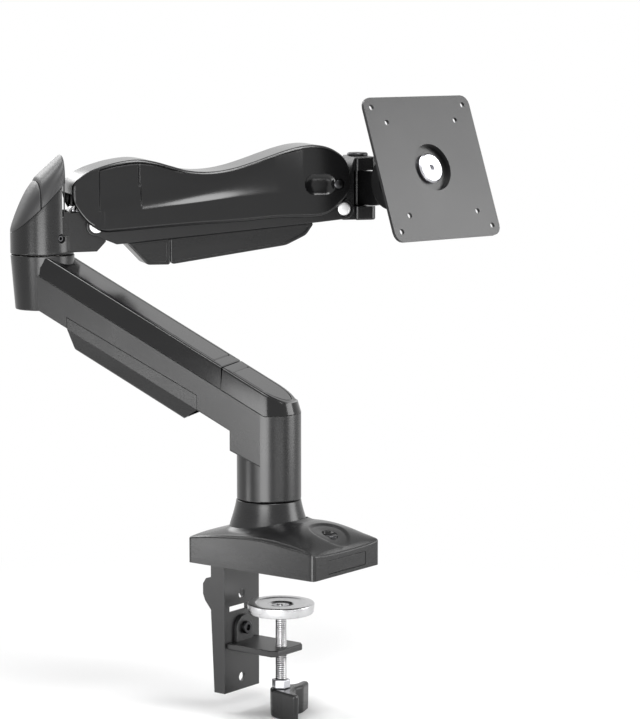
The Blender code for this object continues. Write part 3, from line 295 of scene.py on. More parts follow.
def mesh_of(name: str, place: Place, shapes: list[Shape]) -> bpy.types.Object:
    """Put shapes into one object at the world's origin, with merged doubles and outward faces."""
    offsets = np.cumsum([0] + [len(shape.points) for shape in shapes])
    points = place.world(np.concatenate([shape.points for shape in shapes]))
    faces = [[number + start for number in face] for shape, start in zip(shapes, offsets.tolist())
             for face in shape.faces]
    mesh = bpy.data.meshes.new(name)
    mesh.from_pydata(points.tolist(), [], faces)
    work = bmesh.new()
    work.from_mesh(mesh)
    bmesh.ops.remove_doubles(work, verts=work.verts, dist=3e-7)
    bmesh.ops.recalc_face_normals(work, faces=work.faces)
    work.to_mesh(mesh)
    work.free()
    piece = bpy.data.objects.new(name, mesh)
    bpy.context.scene.collection.objects.link(piece)
    return piece


def shade(piece: bpy.types.Object, angle: float = 38.0) -> None:
    """Shade smooth, keep creases over the angle in degrees, and let the large faces rule the normals."""
    piece.data.shade_smooth()
    piece.data.set_sharp_from_angle(angle=math.radians(angle))
    weighted = piece.modifiers.new("weighted_normals", "WEIGHTED_NORMAL")
    weighted.keep_sharp = True


def make(name: str, place: Place, shapes: list[Shape], holes: list[Shape] | None = None,
         crease: float = 38.0) -> bpy.types.Object:
    """Make a piece from shapes, fused and with holes taken out where holes are given.

    Args:
        name: The piece's name.
        place: The frame that the shapes are drawn in.
        shapes: Solids that the piece is made of.
        holes: Solids to take out; None leaves the shapes side by side and unfused.
        crease: Angle in degrees over which an edge is shaded sharp.

    Returns:
        The new object, at the world's origin.
    """
    if holes is None:
        piece = mesh_of(name, place, shapes)
        shade(piece, crease)
        return piece
    piece = mesh_of(name, place, shapes[:1])
    helpers = []
    for operation, tools in (("UNION", shapes[1:]), ("DIFFERENCE", holes)):
        for number, tool in enumerate(tools):
            helper = mesh_of(f"{name}_{operation.lower()}_{number}", place, [tool])
            helpers.append(helper)
            step = piece.modifiers.new(helper.name, "BOOLEAN")
            step.operation, step.solver, step.object = operation, "EXACT", helper
    evaluated = piece.evaluated_get(bpy.context.evaluated_depsgraph_get())
    finished = bpy.data.meshes.new_from_object(evaluated)
    piece.modifiers.clear()
    piece.data = finished
    work = bmesh.new()
    work.from_mesh(finished)
    bmesh.ops.remove_doubles(work, verts=work.verts, dist=CLOSE)
    bmesh.ops.dissolve_degenerate(work, edges=work.edges, dist=CLOSE)
    bmesh.ops.holes_fill(work, edges=[edge for edge in work.edges if edge.is_boundary], sides=12)
    work.to_mesh(finished)
    work.free()
    for helper in helpers:
        bpy.data.objects.remove(helper)
    shade(piece, crease)
    return piece


# Shader writing ---------------------------------------------------------------------------------
class Wire:
    """A node's output that can be reckoned with, so that an expression adds its own Math nodes."""

    def __init__(self, tree: "Recipe", socket: bpy.types.NodeSocket) -> None:
        """Keep the recipe and the socket."""
        self.tree, self.socket = tree, socket

    def _math(self, operation: str, *values: "Wire | float") -> "Wire":
        """Add one Math node on the values."""
        return self.tree.node("ShaderNodeMath", {"operation": operation}, dict(enumerate(values)))

    def __add__(self, other: "Wire | float") -> "Wire":
        """Sum."""
        return self._math("ADD", self, other)

    __radd__ = __add__

    def __sub__(self, other: "Wire | float") -> "Wire":
        """Difference."""
        return self._math("SUBTRACT", self, other)

    def __rsub__(self, other: "Wire | float") -> "Wire":
        """Difference from a number."""
        return self._math("SUBTRACT", other, self)

    def __mul__(self, other: "Wire | float") -> "Wire":
        """Product."""
        return self._math("MULTIPLY", self, other)

    __rmul__ = __mul__

    def __gt__(self, other: "Wire | float") -> "Wire":
        """1 where this is the greater, or else 0."""
        return self._math("GREATER_THAN", self, other)


class Nodes:
    """A node tree, written as expressions."""

    def __init__(self, tree: bpy.types.NodeTree) -> None:
        """Take the tree to write in."""
        self.tree = tree

    def node(self, kind: str, settings: dict | None = None, inputs: dict | None = None,
             output: int | str = 0) -> Wire:
        """Add a node.

        Args:
            kind: The node's type.
            settings: Attributes set before its sockets; "stops" fills a colour ramp.
            inputs: Socket names or numbers with a value or a Wire each.
            output: Which output to hand back.

        Returns:
            That output as a Wire.
        """
        made = self.tree.nodes.new(kind)
        for key, value in (settings or {}).items():
            if key == "stops":
                for element, (place, colour) in zip(made.color_ramp.elements, value):
                    element.position, element.color = place, colour
            else:
                setattr(made, key, value)
        for key, value in (inputs or {}).items():
            self.feed(made.inputs[key], value)
        return Wire(self, made.outputs[output])

    def feed(self, socket: bpy.types.NodeSocket, value: "Wire | float | tuple") -> None:
        """Link a wire into a socket, or set the socket's own value."""
        if isinstance(value, Wire):
            self.tree.links.new(value.socket, socket)
        else:
            socket.default_value = value

    def plain_view(self) -> Wire:
        """One for rays from the eye, a mirror or a glass, nought for the rest."""
        rays = ("Is Camera Ray", "Is Glossy Ray", "Is Transmission Ray")
        camera, glossy, through = (self.node("ShaderNodeLightPath", output=ray) for ray in rays)
        return self.node("ShaderNodeClamp", inputs={"Value": camera + glossy + through})

    def surface(self, share: Wire, off: Wire, on: Wire) -> None:
        """Send the output one shader where the share is 0 and another where it is 1."""
        shade = self.node("ShaderNodeMixShader", inputs={0: share, 1: off, 2: on})
        for node in self.tree.nodes:
            if node.type in ("OUTPUT_MATERIAL", "OUTPUT_WORLD"):
                self.feed(node.inputs["Surface"], shade)


class Recipe(Nodes):
    """One material's node tree, round its Principled shader."""

    def __init__(self, name: str) -> None:
        """Start a material with its Principled shader."""
        self.material = bpy.data.materials.new(name)
        self.material.use_nodes = True
        super().__init__(self.material.node_tree)
        self.shader = self.tree.nodes["Principled BSDF"]

    def set(self, **values: "Wire | float | tuple") -> None:
        """Feed the Principled shader; underscores in a name stand for spaces."""
        for key, value in values.items():
            self.feed(self.shader.inputs[key.replace("_", " ")], value)

    def where(self) -> Wire:
        """Object coordinates."""
        return self.node("ShaderNodeTexCoord", output="Object")

    def noise(self, scale: float, detail: float = 3.0, roughness: float = 0.5,
              stretch: tuple[float, float, float] = (1.0, 1.0, 1.0)) -> Wire:
        """A cloud of values about one half; scale is in grains a metre."""
        spot = self.node("ShaderNodeMapping", inputs={"Vector": self.where(), "Scale": stretch})
        return self.node("ShaderNodeTexNoise", inputs={"Vector": spot, "Scale": scale, "Detail": detail,
                                                       "Roughness": roughness})

    def blend(self, first: tuple, second: tuple, share: Wire) -> Wire:
        """A colour between two, by a share."""
        return self.node("ShaderNodeMix", {"data_type": "RGBA"},
                         {"Factor": share, 6: (*first, 1.0), 7: (*second, 1.0)}, 2)

    def bump(self, height: Wire, distance: float, strength: float = 1.0) -> Wire:
        """A bumped normal; distance in metres."""
        return self.node("ShaderNodeBump", inputs={"Height": height, "Distance": distance,
                                                   "Strength": strength})


@dataclass(frozen=True)
class CoatedCasting:
    """Black powder coat on a metal casting: fine orange peel, and gloss that wanders a little."""

    name: str = "coated_casting"
    dark: tuple[float, float, float] = (0.0030, 0.0030, 0.0032)
    pale: tuple[float, float, float] = (0.0070, 0.0070, 0.0074)
    gloss: float = 0.29
    specular: float = 0.42
    grain: float = 1500.0
    peel: float = 2.2e-5

    def material(self) -> bpy.types.Material:
        """Mix broad clouds into colour and roughness, and fine grain into the bump."""
        made = Recipe(self.name)
        clouds, grain = made.noise(14.0, 5.0, 0.6), made.noise(self.grain, 2.0)
        specks = made.noise(self.grain * 0.35, 1.0) > 0.71
        made.set(Base_Color=made.blend(self.dark, self.pale, clouds * 0.7 + specks * 0.25),
                 Roughness=clouds * 0.10 + grain * 0.06 + (self.gloss - 0.08), Metallic=0.0,
                 Specular_IOR_Level=self.specular, Normal=made.bump(grain, self.peel, 0.7))
        return made.material


@dataclass(frozen=True)
class MouldedPlastic:
    """Black moulded plastic with a fine spark-eroded texture and faint flow marks."""

    name: str = "moulded_plastic"
    dark: tuple[float, float, float] = (0.0022, 0.0022, 0.0024)
    pale: tuple[float, float, float] = (0.0052, 0.0052, 0.0055)
    gloss: float = 0.24
    specular: float = 0.4
    grain: float = 2600.0

    def material(self) -> bpy.types.Material:
        """Stretch the flow marks along the mould, and keep the texture finer than the eye finds lines."""
        made = Recipe(self.name)
        flow, grain = made.noise(22.0, 4.0, 0.55, (1.0, 1.0, 3.0)), made.noise(self.grain, 2.0, 0.6)
        made.set(Base_Color=made.blend(self.dark, self.pale, flow),
                 Roughness=flow * 0.08 + grain * 0.05 + (self.gloss - 0.06), Metallic=0.0,
                 Specular_IOR_Level=self.specular, Normal=made.bump(grain, 1.2e-5, 0.6))
        return made.material


@dataclass(frozen=True)
class TurnedSteel:
    """Bright turned steel: fine tool rings, rub marks and a little tarnish."""

    name: str = "turned_steel"
    colour: tuple[float, float, float] = (0.66, 0.66, 0.67)
    tarnish: tuple[float, float, float] = (0.42, 0.41, 0.40)
    gloss: float = 0.16
    rings: float = 900.0

    def material(self) -> bpy.types.Material:
        """Tool rings are noise squeezed along the vertical, so that they run round the piece."""
        made = Recipe(self.name)
        rings = made.noise(self.rings, 2.0, 0.6, (0.03, 0.03, 1.0))
        rubs = made.noise(120.0, 6.0, 0.65)
        made.set(Base_Color=made.blend(self.tarnish, self.colour, rubs * 0.6 + rings * 0.3 + 0.25),
                 Roughness=rings * 0.12 + rubs * 0.10 + (self.gloss - 0.09), Metallic=1.0,
                 Normal=made.bump(rings, 1.5e-5, 0.5))
        return made.material


@dataclass(frozen=True)
class PlainPolymer:
    """Undyed nylon or black rubber sheet: matt, with a soft mottle and a fine pitted skin."""

    name: str
    dark: tuple[float, float, float]
    pale: tuple[float, float, float]
    gloss: float
    pits: float = 900.0

    def material(self) -> bpy.types.Material:
        """Mottle the colour and pit the skin."""
        made = Recipe(self.name)
        mottle, pits = made.noise(60.0, 4.0), made.noise(self.pits, 3.0, 0.7)
        made.set(Base_Color=made.blend(self.dark, self.pale, mottle),
                 Roughness=pits * 0.1 + (self.gloss - 0.05),
                 Metallic=0.0, Normal=made.bump(pits, 4e-5, 0.8))
        return made.material


class Finish(Enum):
    """The finishes of the arm, each made once."""

    CASTING = CoatedCasting()
    ARM_SHELL = CoatedCasting("arm_shell_coat", gloss=0.19, specular=0.4, grain=1900.0, peel=0.8e-5)
    CLAMP_STEEL = CoatedCasting("clamp_steel_coat", (0.006, 0.006, 0.0063), (0.014, 0.014, 0.0145), 0.38, 0.5)
    GLOSS_PLASTIC = MouldedPlastic("gloss_plastic", gloss=0.14, specular=0.35)
    SATIN_PLASTIC = MouldedPlastic("satin_plastic", (0.0030, 0.0030, 0.0032), (0.0070, 0.0070, 0.0073), 0.27,
                                   0.4)
    DOME_PLASTIC = MouldedPlastic("dome_plastic", (0.016, 0.016, 0.0165), (0.034, 0.034, 0.035), 0.44, 0.5,
                                  1500.0)
    TURNED = TurnedSteel()
    DISC_STEEL = TurnedSteel("disc_steel", (0.60, 0.60, 0.61), (0.30, 0.30, 0.30), 0.27, 700.0)
    ZINC = TurnedSteel("zinc_steel", (0.48, 0.48, 0.50), (0.33, 0.33, 0.35), 0.3, 500.0)
    PIN_STEEL = TurnedSteel("pin_steel", (0.80, 0.80, 0.80), (0.62, 0.62, 0.62), 0.50, 400.0)
    DARK_SCREW = TurnedSteel("blackened_screw", (0.05, 0.05, 0.052), (0.02, 0.02, 0.021), 0.3, 600.0)
    NYLON = PlainPolymer("natural_nylon", (0.70, 0.69, 0.65), (0.80, 0.79, 0.75), 0.5)
    PAD = PlainPolymer("pad_rubber", (0.014, 0.014, 0.014), (0.030, 0.030, 0.030), 0.85, 700.0)


class Dresser:
    """Gives pieces their material, and tells the frame what each one rides on and stands for."""

    def __init__(self, nodes: dict[str, bpy.types.Object]) -> None:
        """Make every finish once."""
        self.nodes = nodes
        self.made = {finish: finish.value.material() for finish in Finish}
        self.done: set[str] = set()

    def box_mm(self, name: str) -> tuple[Array, Array]:
        """A CAD node's lowest and highest corners in millimetres."""
        low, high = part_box(name)
        return np.array(low) / MM, np.array(high) / MM

    def wear(self, piece: bpy.types.Object, finish: Finish) -> None:
        """Put one finish on a piece or a CAD node."""
        piece.data.materials.clear()
        piece.data.materials.append(self.made[finish])

    def add(self, piece: bpy.types.Object, body: Body, finish: Finish, *stands_for: str) -> None:
        """Finish a new piece.

        Args:
            piece: The new object.
            body: What it rides on.
            finish: Its material.
            stands_for: CAD nodes that it takes the place of.
        """
        self.wear(piece, finish)
        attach(piece, body.value)
        if stands_for:
            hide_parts(*stands_for)
            self.done.update(stands_for)
        log.info("%s: %d faces on %s", piece.name, len(piece.data.polygons), body.value)

    def keep(self, finish: Finish, *names: str) -> None:
        """Dress CAD nodes whose own shape is shown."""
        for name in names:
            self.wear(self.nodes[name], finish)
            self.done.add(name)
            log.info("%s: CAD shape kept", name)

    def refine(self, name: str, body: Body, finish: Finish, edge: float = 0.5) -> None:
        """Stand a merged copy of a flat-sided CAD node in its place, with small rounds on its edges.

        Args:
            name: The CAD node.
            body: What it rides on.
            finish: Its material.
            edge: Width in millimetres of the rounded edges.
        """
        piece = bpy.data.objects.new(f"{name}_fine", self.nodes[name].data.copy())
        bpy.context.scene.collection.objects.link(piece)
        work = bmesh.new()
        work.from_mesh(piece.data)
        bmesh.ops.remove_doubles(work, verts=work.verts, dist=2e-6)
        bmesh.ops.dissolve_limit(work, angle_limit=math.radians(0.6), verts=work.verts, edges=work.edges)
        work.to_mesh(piece.data)
        work.free()
        bevel = piece.modifiers.new("rounded_edges", "BEVEL")
        bevel.width, bevel.segments, bevel.limit_method = edge * MM, 2, "ANGLE"
        bevel.angle_limit = math.radians(32.0)
        bevel.use_clamp_overlap = True
        shade(piece, 30.0)
        self.add(piece, body, finish, name)


# Base and clamp ---------------------------------------------------------------------------------
@dataclass
class Base:
    """The base on the desk: crowned cover, collar, post and their screws."""

    place: Place
    half_width: float = 41.4
    nose: float = -75.3
    rear: float = 46.8
    wall: float = 2.4
    collar_radius: float = 30.0
    collar_top: float = 49.3
    column_radius: float = 25.0
    screw_spot: Point = (0.0, -59.7)
    stations: list[float] = field(default_factory=lambda: [-75.3, -69, -61, -50, -37, -18, 4, 25, 46.8])
    sides: list[float] = field(default_factory=lambda: [20.0, 21.3, 22.2, 23.3, 24.8, 25.8, 24.7, 22.9, 19.9])
    crowns: list[float] = field(default_factory=lambda: [-2.0, 3.2, 7.4, 9.8, 9.6, 7.4, 5.8, 4.2, 2.0])

    def height(self, x: Array, y: Array) -> Array:
        """Top of the cover: its side line, a cubic crown and a flare at the collar, less the screw's dish."""
        crown = smooth(y, self.stations, self.crowns) * (1.0 - np.minimum(np.abs(x) / self.half_width,
                                                                          1.0) ** 3)
        flare = 1.8 * np.clip(1.0 - (np.hypot(x, y) - self.collar_radius) / 6.0, 0.0, 1.0) ** 2
        out = np.hypot(x - self.screw_spot[0], (y - self.screw_spot[1] - 1.5) * 1.12)
        dish = 1.5 * (1.0 - ease((out - 14.6) / 2.2)) + 1.2 * (1.0 - ease(out / 14.0))
        return smooth(y, self.stations, self.sides) + crown + flare - dish

    def cover(self, inward: float, drop: float, rim: float) -> Shape:
        """The cover's solid form: upright walls, a rounded rim, and the crowned top on shrinking rings.

        A top point stands at the centre plus share times the outline, where share falls from one to nearly
        nothing, and takes its height from its own place.
        """
        x, y = self.half_width - inward, (self.nose + inward, self.rear - inward)
        outline = rounded([(-x, y[0]), (x, y[0]), (x, y[1]), (-x, y[1])], 3.2, 5)
        run = np.linalg.norm(np.roll(outline, -1, 0) - outline, axis=1)
        parts = np.maximum(np.round(run / 2.0).astype(int), 1)
        share = np.arange(parts.sum()) - np.repeat(np.cumsum(parts) - parts, parts)
        share = (share / np.repeat(parts, parts))[:, None]
        start, after = np.repeat(outline, parts, 0), np.repeat(np.roll(outline, -1, 0), parts, 0)
        outline = start * (1 - share) + after * share
        turn = np.linspace(0.0, math.pi / 2, 6)
        loops = [np.column_stack([outline, np.full(len(outline), GAP - drop)])]
        edge = self.height(outline[:, 0], outline[:, 1]) - drop
        for step in turn:
            loops.append(np.column_stack([inset(outline, rim * (1 - math.cos(step))),
                                          edge - rim * (1 - math.sin(step))]))
        centre = np.array([0.0, 0.5 * (y[0] + y[1])])
        for shrink in np.linspace(0.985, 0.03, 56):
            flat = centre + (inset(outline, rim) - centre) * shrink
            loops.append(np.column_stack([flat, self.height(flat[:, 0], flat[:, 1]) - drop]))
        return skin(np.stack(loops))

    def build(self, dresser: Dresser) -> None:
        """Make and dress the base's pieces."""
        spot, top = self.screw_spot, float(self.height(*map(np.array, self.screw_spot)))
        pit = turned([(0, top - 6.3), (3.4, top - 6.3), (3.4, top - 3.0), (5.2, top - 2.4), (5.9, top - 0.8),
                      (6.8, top + 0.4), (6.8, top + 8), (0, top + 8)], centre=spot)
        hole = self.collar_radius + GAP
        cover = make("base_cover_fine", self.place, [self.cover(0.0, 0.0, 1.3)], [
            self.cover(self.wall, self.wall, 0.8), turned([(0, -4), (hole, -4), (hole, 60), (0, 60)]), pit,
            slab(rounded([(-23.5, 3.0), (23.5, 3.0), (23.5, 13.5), (-23.5, 13.5)], 1.0),
                 self.nose - 2.0, self.nose + 1.1, 0.3, Axis.ACROSS)])
        dresser.add(cover, Body.BASE, Finish.SATIN_PLASTIC, "base_cover")
        panel = slab(rounded([(-23.2, 3.3), (23.2, 3.3), (23.2, 13.2), (-23.2, 13.2)], 0.9),
                     self.nose + 0.15, self.nose + 1.0, 0.25, Axis.ACROSS)
        dresser.add(make("nose_panel_fine", self.place, [panel]), Body.BASE, Finish.SATIN_PLASTIC,
                    "nose_panel")
        head = dresser.box_mm("cover_screw")[1][2]
        screw = turned([(0, head - 1.6), (1.7, head - 1.6), (1.8, head), (4.8, head), (5.2, head - 0.4),
                        (5.2, head - 3.0), (2.4, head - 3.0), (2.4, 4.2), (0, 4.2)], centre=spot)
        dresser.add(make("cover_screw_fine", self.place, [screw]), Body.BASE, Finish.DARK_SCREW,
                    "cover_screw")
        outer, inner = self.collar_radius, self.collar_radius - 2.5
        low, top = 14.6, self.collar_top
        bow = [(self.column_radius + 5.0 * (1 - step) ** 1.25, 30.0 + (top - 30.8) * step)
               for step in np.linspace(0.0, 1.0, 10)]
        collar = turned([(inner, low), (outer, low), (outer, 20.0), (outer, 26.0), *bow,
                         (self.column_radius - 0.35, top - 0.25), (self.column_radius - 0.9, top),
                         (20.3, top), (20.3, top - 2.5), (22.5, top - 2.5), (inner, 30.0)], ring=True)
        dresser.add(make("column_collar_fine", self.place, [collar]), Body.BASE, Finish.SATIN_PLASTIC,
                    "column_collar")
        dresser.keep(Finish.PAD, "desk_pad")
        dresser.keep(Finish.CLAMP_STEEL, "base_plate", "column_post")
        dresser.keep(Finish.ZINC, "post_screw_rear", "post_screw_left", "post_screw_right",
                     "flange_screw_left", "flange_screw_right")


@dataclass
class Clamp:
    """The desk clamp: upright channel plate, shelf, screw, disc and wing handle."""

    place: Place
    disc_radius: float = 25.8
    disc_top: float = -30.6
    screw_radius: float = 4.5
    handle_top: float = -97.8

    def disc_shapes(self) -> list[Shape]:
        """Pressure disc: polished rim, a flat land, a shallow dish and a hollow for the screw's head."""
        top, low, rim = self.disc_top, self.disc_top - 8.0, self.disc_radius
        return [turned([(3.5, top - 3.5), (8.2, top - 3.5), (8.7, top - 3.2), (9.8, top - 1.4),
                        (10.4, top - 1.1),
                        (18.6, top - 0.8), (19.3, top - 0.5), (20.1, top), (rim - 1.2, top),
                        (rim - 0.5, top - 0.2),
                        (rim - 0.1, top - 0.6), (rim, top - 1.1), (rim - 0.1, top - 4.2),
                        (rim - 0.5, low + 1.0),
                        (rim - 1.3, low), (3.5, low)], ring=True, sides=160)]

    def blade(self, height: float) -> Array:
        """Outline of the wing handle at a height: full at the top, drawn in by a little below."""
        corners = [(-15.0, -24.0), (-9.5, -25.0), (-3.0, -13.0), (6.0, -9.5), (16.0, -9.5), (29.0, -5.0),
                   (29.0, 1.0), (15.0, -1.0), (9.0, 7.5), (-2.0, 10.0), (-9.0, 3.0), (-11.5, -10.0)]
        radii = [2.6, 2.6, 9.0, 8.0, 12.0, 2.8, 2.8, 10.0, 8.0, 8.0, 9.0, 12.0]
        return inset(rounded(corners, radii, 7), height)

    def handle(self) -> Shape:
        """The handle: rings of its outline, with deep rounds above and a slight draft down to the foot."""
        level = np.array([0.0, 0.1, 0.35, 0.8, 1.5, 2.4, 8.0, 14.0, 20.5, 21.4, 21.9, 22.0])
        inward = np.array([2.3, 1.7, 1.1, 0.6, 0.2, 0.02, 0.1, 0.25, 0.45, 0.6, 1.0, 1.5])
        rings = np.stack([self.blade(step) for step in inward])
        return skin(stand(rings, self.handle_top - level, Axis.UP))

    def build(self, dresser: Dresser, base: Place) -> None:
        """Make and dress the clamp's pieces."""
        dresser.refine("clamp_back_plate", Body.BASE, Finish.CLAMP_STEEL, 0.6)
        dresser.refine("clamp_shelf", Body.BASE, Finish.CLAMP_STEEL, 0.6)
        dresser.keep(Finish.ZINC, "shelf_nut", "disc_clip")
        (_, front, low), (_, back, high) = dresser.box_mm("shelf_bolt")
        middle = 0.5 * (low + high)
        bolt = turned([(0, front + 2), (2.4, front + 2), (2.5, front), (4.4, front), (5.0, front + 0.5),
                       (5.0, front + 3), (3, front + 3), (3, back - 0.5), (2.5, back), (0, back)],
                      Axis.ACROSS, (0.0, middle))
        dresser.add(make("shelf_bolt_fine", base, [bolt]), Body.BASE, Finish.DARK_SCREW, "shelf_bolt")
        dresser.add(make("pressure_disc_fine", self.place, self.disc_shapes()), Body.DISC, Finish.DISC_STEEL,
                    "pressure_disc")
        radius, pitch = self.screw_radius, 1.5
        top, low = self.disc_top - 8.3, self.handle_top - 13.0
        count = int((top - 2.0 - low) / (pitch / 4))
        crest = [(radius - (0.0, 0.32, 0.62, 0.32)[step % 4],
                  top - 2.0 - step * pitch / 4) for step in range(count)]
        screw = turned([(0, top + 7.1), (2.9, top + 7.1), (3.2, top + 6.8), (3.2, top), (3.7, top),
                        (4.1, top - 0.5),
                        *crest, (3.6, low), (0, low)], sides=72)
        dresser.add(make("clamp_screw_fine", self.place, [screw], crease=50.0), Body.SPINDLE, Finish.TURNED,
                    "clamp_screw")
        flats = rounded(disc((0.0, 0.0), 7.2, 6), 0.9, 4)
        nut = slab(flats, -97.5, -91.0, 0.6, Axis.UP)
        bore = turned([(0, -99), (4.8, -99), (4.8, -90), (0, -90)])
        dresser.add(make("screw_collar_fine", self.place, [nut], [bore]), Body.SPINDLE, Finish.ZINC,
                    "screw_collar")
        socket = turned([(0, self.handle_top - 14.2), (4.8, self.handle_top - 14.2),
                         (4.8, self.handle_top + 2),
                         (0, self.handle_top + 2)])
        dresser.add(make("clamp_handle_fine", self.place, [self.handle()], [socket]), Body.SPINDLE,
                    Finish.SATIN_PLASTIC, "clamp_handle")


# Lower arm --------------------------------------------------------------------------------------
@dataclass
class LowerArm:
    """The rising lower arm: casting, two caps along its back, and the cable cover below."""

    place: Place
    radius: float = 25.0
    reach: float = 185.8
    slope: float = 0.555
    cap_line: float = 118.7
    under_line: float = 91.3
    front_z: float = 116.1
    floor: float = 49.9
    boss_low: float = 190.0
    joint_z: float = 233.0
    cap_height: float = 17.2
    draft: float = 2.7
    split: float = 30.0

    def seam(self, along: Array) -> Array:
        """Height of the caps' seam: a rising line, level round the front of the column."""
        return np.maximum(self.cap_line + self.slope * along, self.front_z)

    def under(self, along: Array | float) -> Array | float:
        """Height of the arm's underside."""
        return self.under_line + self.slope * along

    def beam(self) -> Shape:
        """The arm's bar: a rounded section at each station along it.

        The half width is sqrt(radius^2 - along^2) in front of the column's axis and the radius behind it.
        Its foot steps from the column's foot to a cheek and on to the underside.
        """
        end = self.reach - 6.0
        along = np.concatenate([-self.radius * np.cos(np.linspace(0.055, 1.50, 44)),
                                [-1.51, -1.49, 6.0, 14.0, 22.79, 22.81], np.linspace(28.0, end, 30)])
        foot = np.interp(along, [-26, -1.5, -1.499, 22.8, 22.801, end],
                         [self.floor, self.floor, 77.4, 88.7, self.under(22.8), self.under(end)])
        loops = []
        for station, low, high in zip(along, foot, self.seam(along)):
            half = math.sqrt(max(self.radius ** 2 - min(station, 0.0) ** 2, 0.5))
            edge = min(1.1, 0.3 * half)
            section = rounded([(-half, low), (half, low), (half, high), (-half, high)],
                              [edge, edge, 0.35, 0.35], 4)
            loops.append(np.column_stack([np.full(len(section), station), section]))
        return skin(np.stack(loops))

    def cap(self, start: float | None, end: float | None, inward: float = 0.0, drop: float = 0.0) -> Shape:
        """A cap: its plan outline on rising rings that lean in, a rounded rim and a fine groove on top.

        Args:
            start: Where a square rear end stands, or None for the half-round end at the column.
            end: Where the front end stands.
            inward: How far the whole outline is drawn in, for the hollow.
            drop: How far the top is lowered, for the hollow.

        Returns:
            The cap's closed form, with its seam's height added to every ring.
        """
        radius = self.radius - inward
        if start is None:
            angle = np.linspace(math.pi / 2, 1.5 * math.pi, 73)
            round_end = np.stack([radius * np.cos(angle), radius * np.sin(angle)], -1)
            side = np.linspace(0.0, end, 8)[1:]
            outline = np.concatenate([round_end, np.stack([side, np.full(7, -radius)], -1),
                                      np.stack([side[::-1], np.full(7, radius)], -1)])
        else:
            side = np.linspace(start, end, 40)
            outline = np.concatenate([np.stack([side, np.full(40, -radius)], -1),
                                      np.stack([side[::-1], np.full(40, radius)], -1)])
        lean, high = self.draft, self.cap_height - drop
        level = [GAP - 4 * (drop > 0), 0.6, high - 2.2, high - 1.45, high - 0.68, high - 0.16, high, high,
                 high - 0.5,
                 high - 0.5, high - 0.05, high]
        inset_by = [0.12, 0.0, lean - 0.2, lean + 0.04, lean + 0.52, lean + 1.25, lean + 2.1, lean + 4.4,
                    lean + 4.7,
                    lean + 5.2, lean + 5.5, lean + 6.1]
        if drop:
            level, inset_by = level[:7], inset_by[:7]
        ends = outline[:, 0]
        loops = []
        for height, by in zip(level, inset_by):
            flat = inset(outline, by)
            square = (ends >= end - 0.01) | ((ends <= start + 0.01) if start is not None
                                             else np.zeros(len(ends), bool))
            if by <= lean + 2.11:
                flat[square, 0] = np.where(ends >= end - 0.01, end - 0.15 * by,
                                           (start or 0.0) + 0.15 * by)[square]
            top = np.maximum(self.cap_line + self.slope * flat[:, 0] + height,
                             self.front_z + min(height, 9.0))
            loops.append(np.column_stack([flat, top]))
        return skin(np.stack(loops))

    def trough(self, starts: Point, ends: Point, side: float, foot: float, edge: float, strip: float,
               deep: float) -> Shape:
        """The cable cover: a section that narrows below the arm, carried from one end to the other.

        Args:
            starts: Where its upper and lower edges start.
            ends: Where they end.
            side: Half width at the arm.
            foot: Half width at its foot.
            edge: Radius of the foot's edges.
            strip: Height added to the upper edge.
            deep: Depth below the underside.

        Returns:
            The closed form.
        """
        loops = []
        for share in np.linspace(0.0, 1.0, 24):
            top_at, foot_at = (starts[0] + (ends[0] - starts[0]) * share,
                               starts[1] + (ends[1] - starts[1]) * share)
            top, waist, base = 104.4 + 0.527 * top_at + strip, self.under(top_at), self.under(foot_at) - deep
            section = rounded([(side, top), (side, waist), (foot, base), (-foot, base), (-side, waist),
                               (-side, top)],
                              [0.4, 2.0, edge, edge, 2.0, 0.4], 5)
            down = np.clip((waist - section[:, 1]) / (waist - base), 0.0, 1.0)
            loops.append(np.column_stack([top_at + (foot_at - top_at) * down, section]))
        return skin(np.stack(loops))

    def build(self, dresser: Dresser) -> None:
        """Make and dress the lower arm's pieces."""
        elbow, high = (self.reach, 0.0), self.joint_z - GAP
        boss = turned([(0, self.boss_low), (20.6, self.boss_low), (21.4, self.boss_low + 0.3),
                       (21.7, self.boss_low + 1.0), (self.radius - 0.07, high - 0.9),
                       (self.radius - 0.35, high - 0.3),
                       (self.radius - 0.9, high), (0, high)], centre=elbow, sides=128)
        bore = turned([(0, 180), (17, 180), (17, 198), (14.3, 198), (14.3, high - 1), (20.3, high - 1),
                       (20.3, 250),
                       (0, 250)], centre=elbow)
        well = turned([(0, 45), (21, 45), (21, 52.4), (17.5, 52.4), (17.5, 99), (21.5, 99), (21.5, 140),
                       (0, 140)])
        slot = stand(np.array([[(49.1, 60.0), (155.7, 120.0), (155.7, 104.7 + 0.527 * 155.7),
                                (49.1, 104.7 + 0.527 * 49.1)]]), np.array([0.0]), Axis.ACROSS)
        near, far = np.concatenate([slot, slot]), np.concatenate([slot, slot])
        near[0, :, 1], near[1, :, 1] = -30.0, 2.3 - self.radius
        far[0, :, 1], far[1, :, 1] = self.radius - 2.3, 30.0
        sleeve = turned([(0, 49.7), (23.8, 49.7), (24.4, 50.3), (24.4, 99), (0, 99)], sides=128)
        casting = make("lower_arm_fine", self.place, [self.beam(), boss, sleeve],
                       [well, bore, skin(near), skin(far)])
        dresser.add(casting, Body.LOWER_ARM, Finish.CASTING, "lower_arm")
        end_cap = make("column_end_cap_fine", self.place, [self.cap(None, self.split - GAP)],
                       [self.cap(None, self.split - 3.0, 2.4, 2.2)])
        dresser.add(end_cap, Body.LOWER_ARM, Finish.GLOSS_PLASTIC, "column_end_cap")
        round_off = turned([(0, 150), (self.radius + GAP, 150), (self.radius + GAP, 290), (0, 290)],
                           centre=elbow,
                           sides=128)
        lid = slab(rounded([(25.0, -40.0), (self.reach, -40.0), (self.reach, 40.0), (25.0, 40.0)], 0.5),
                   self.joint_z - 1.5, 300.0, 0.2, Axis.UP)
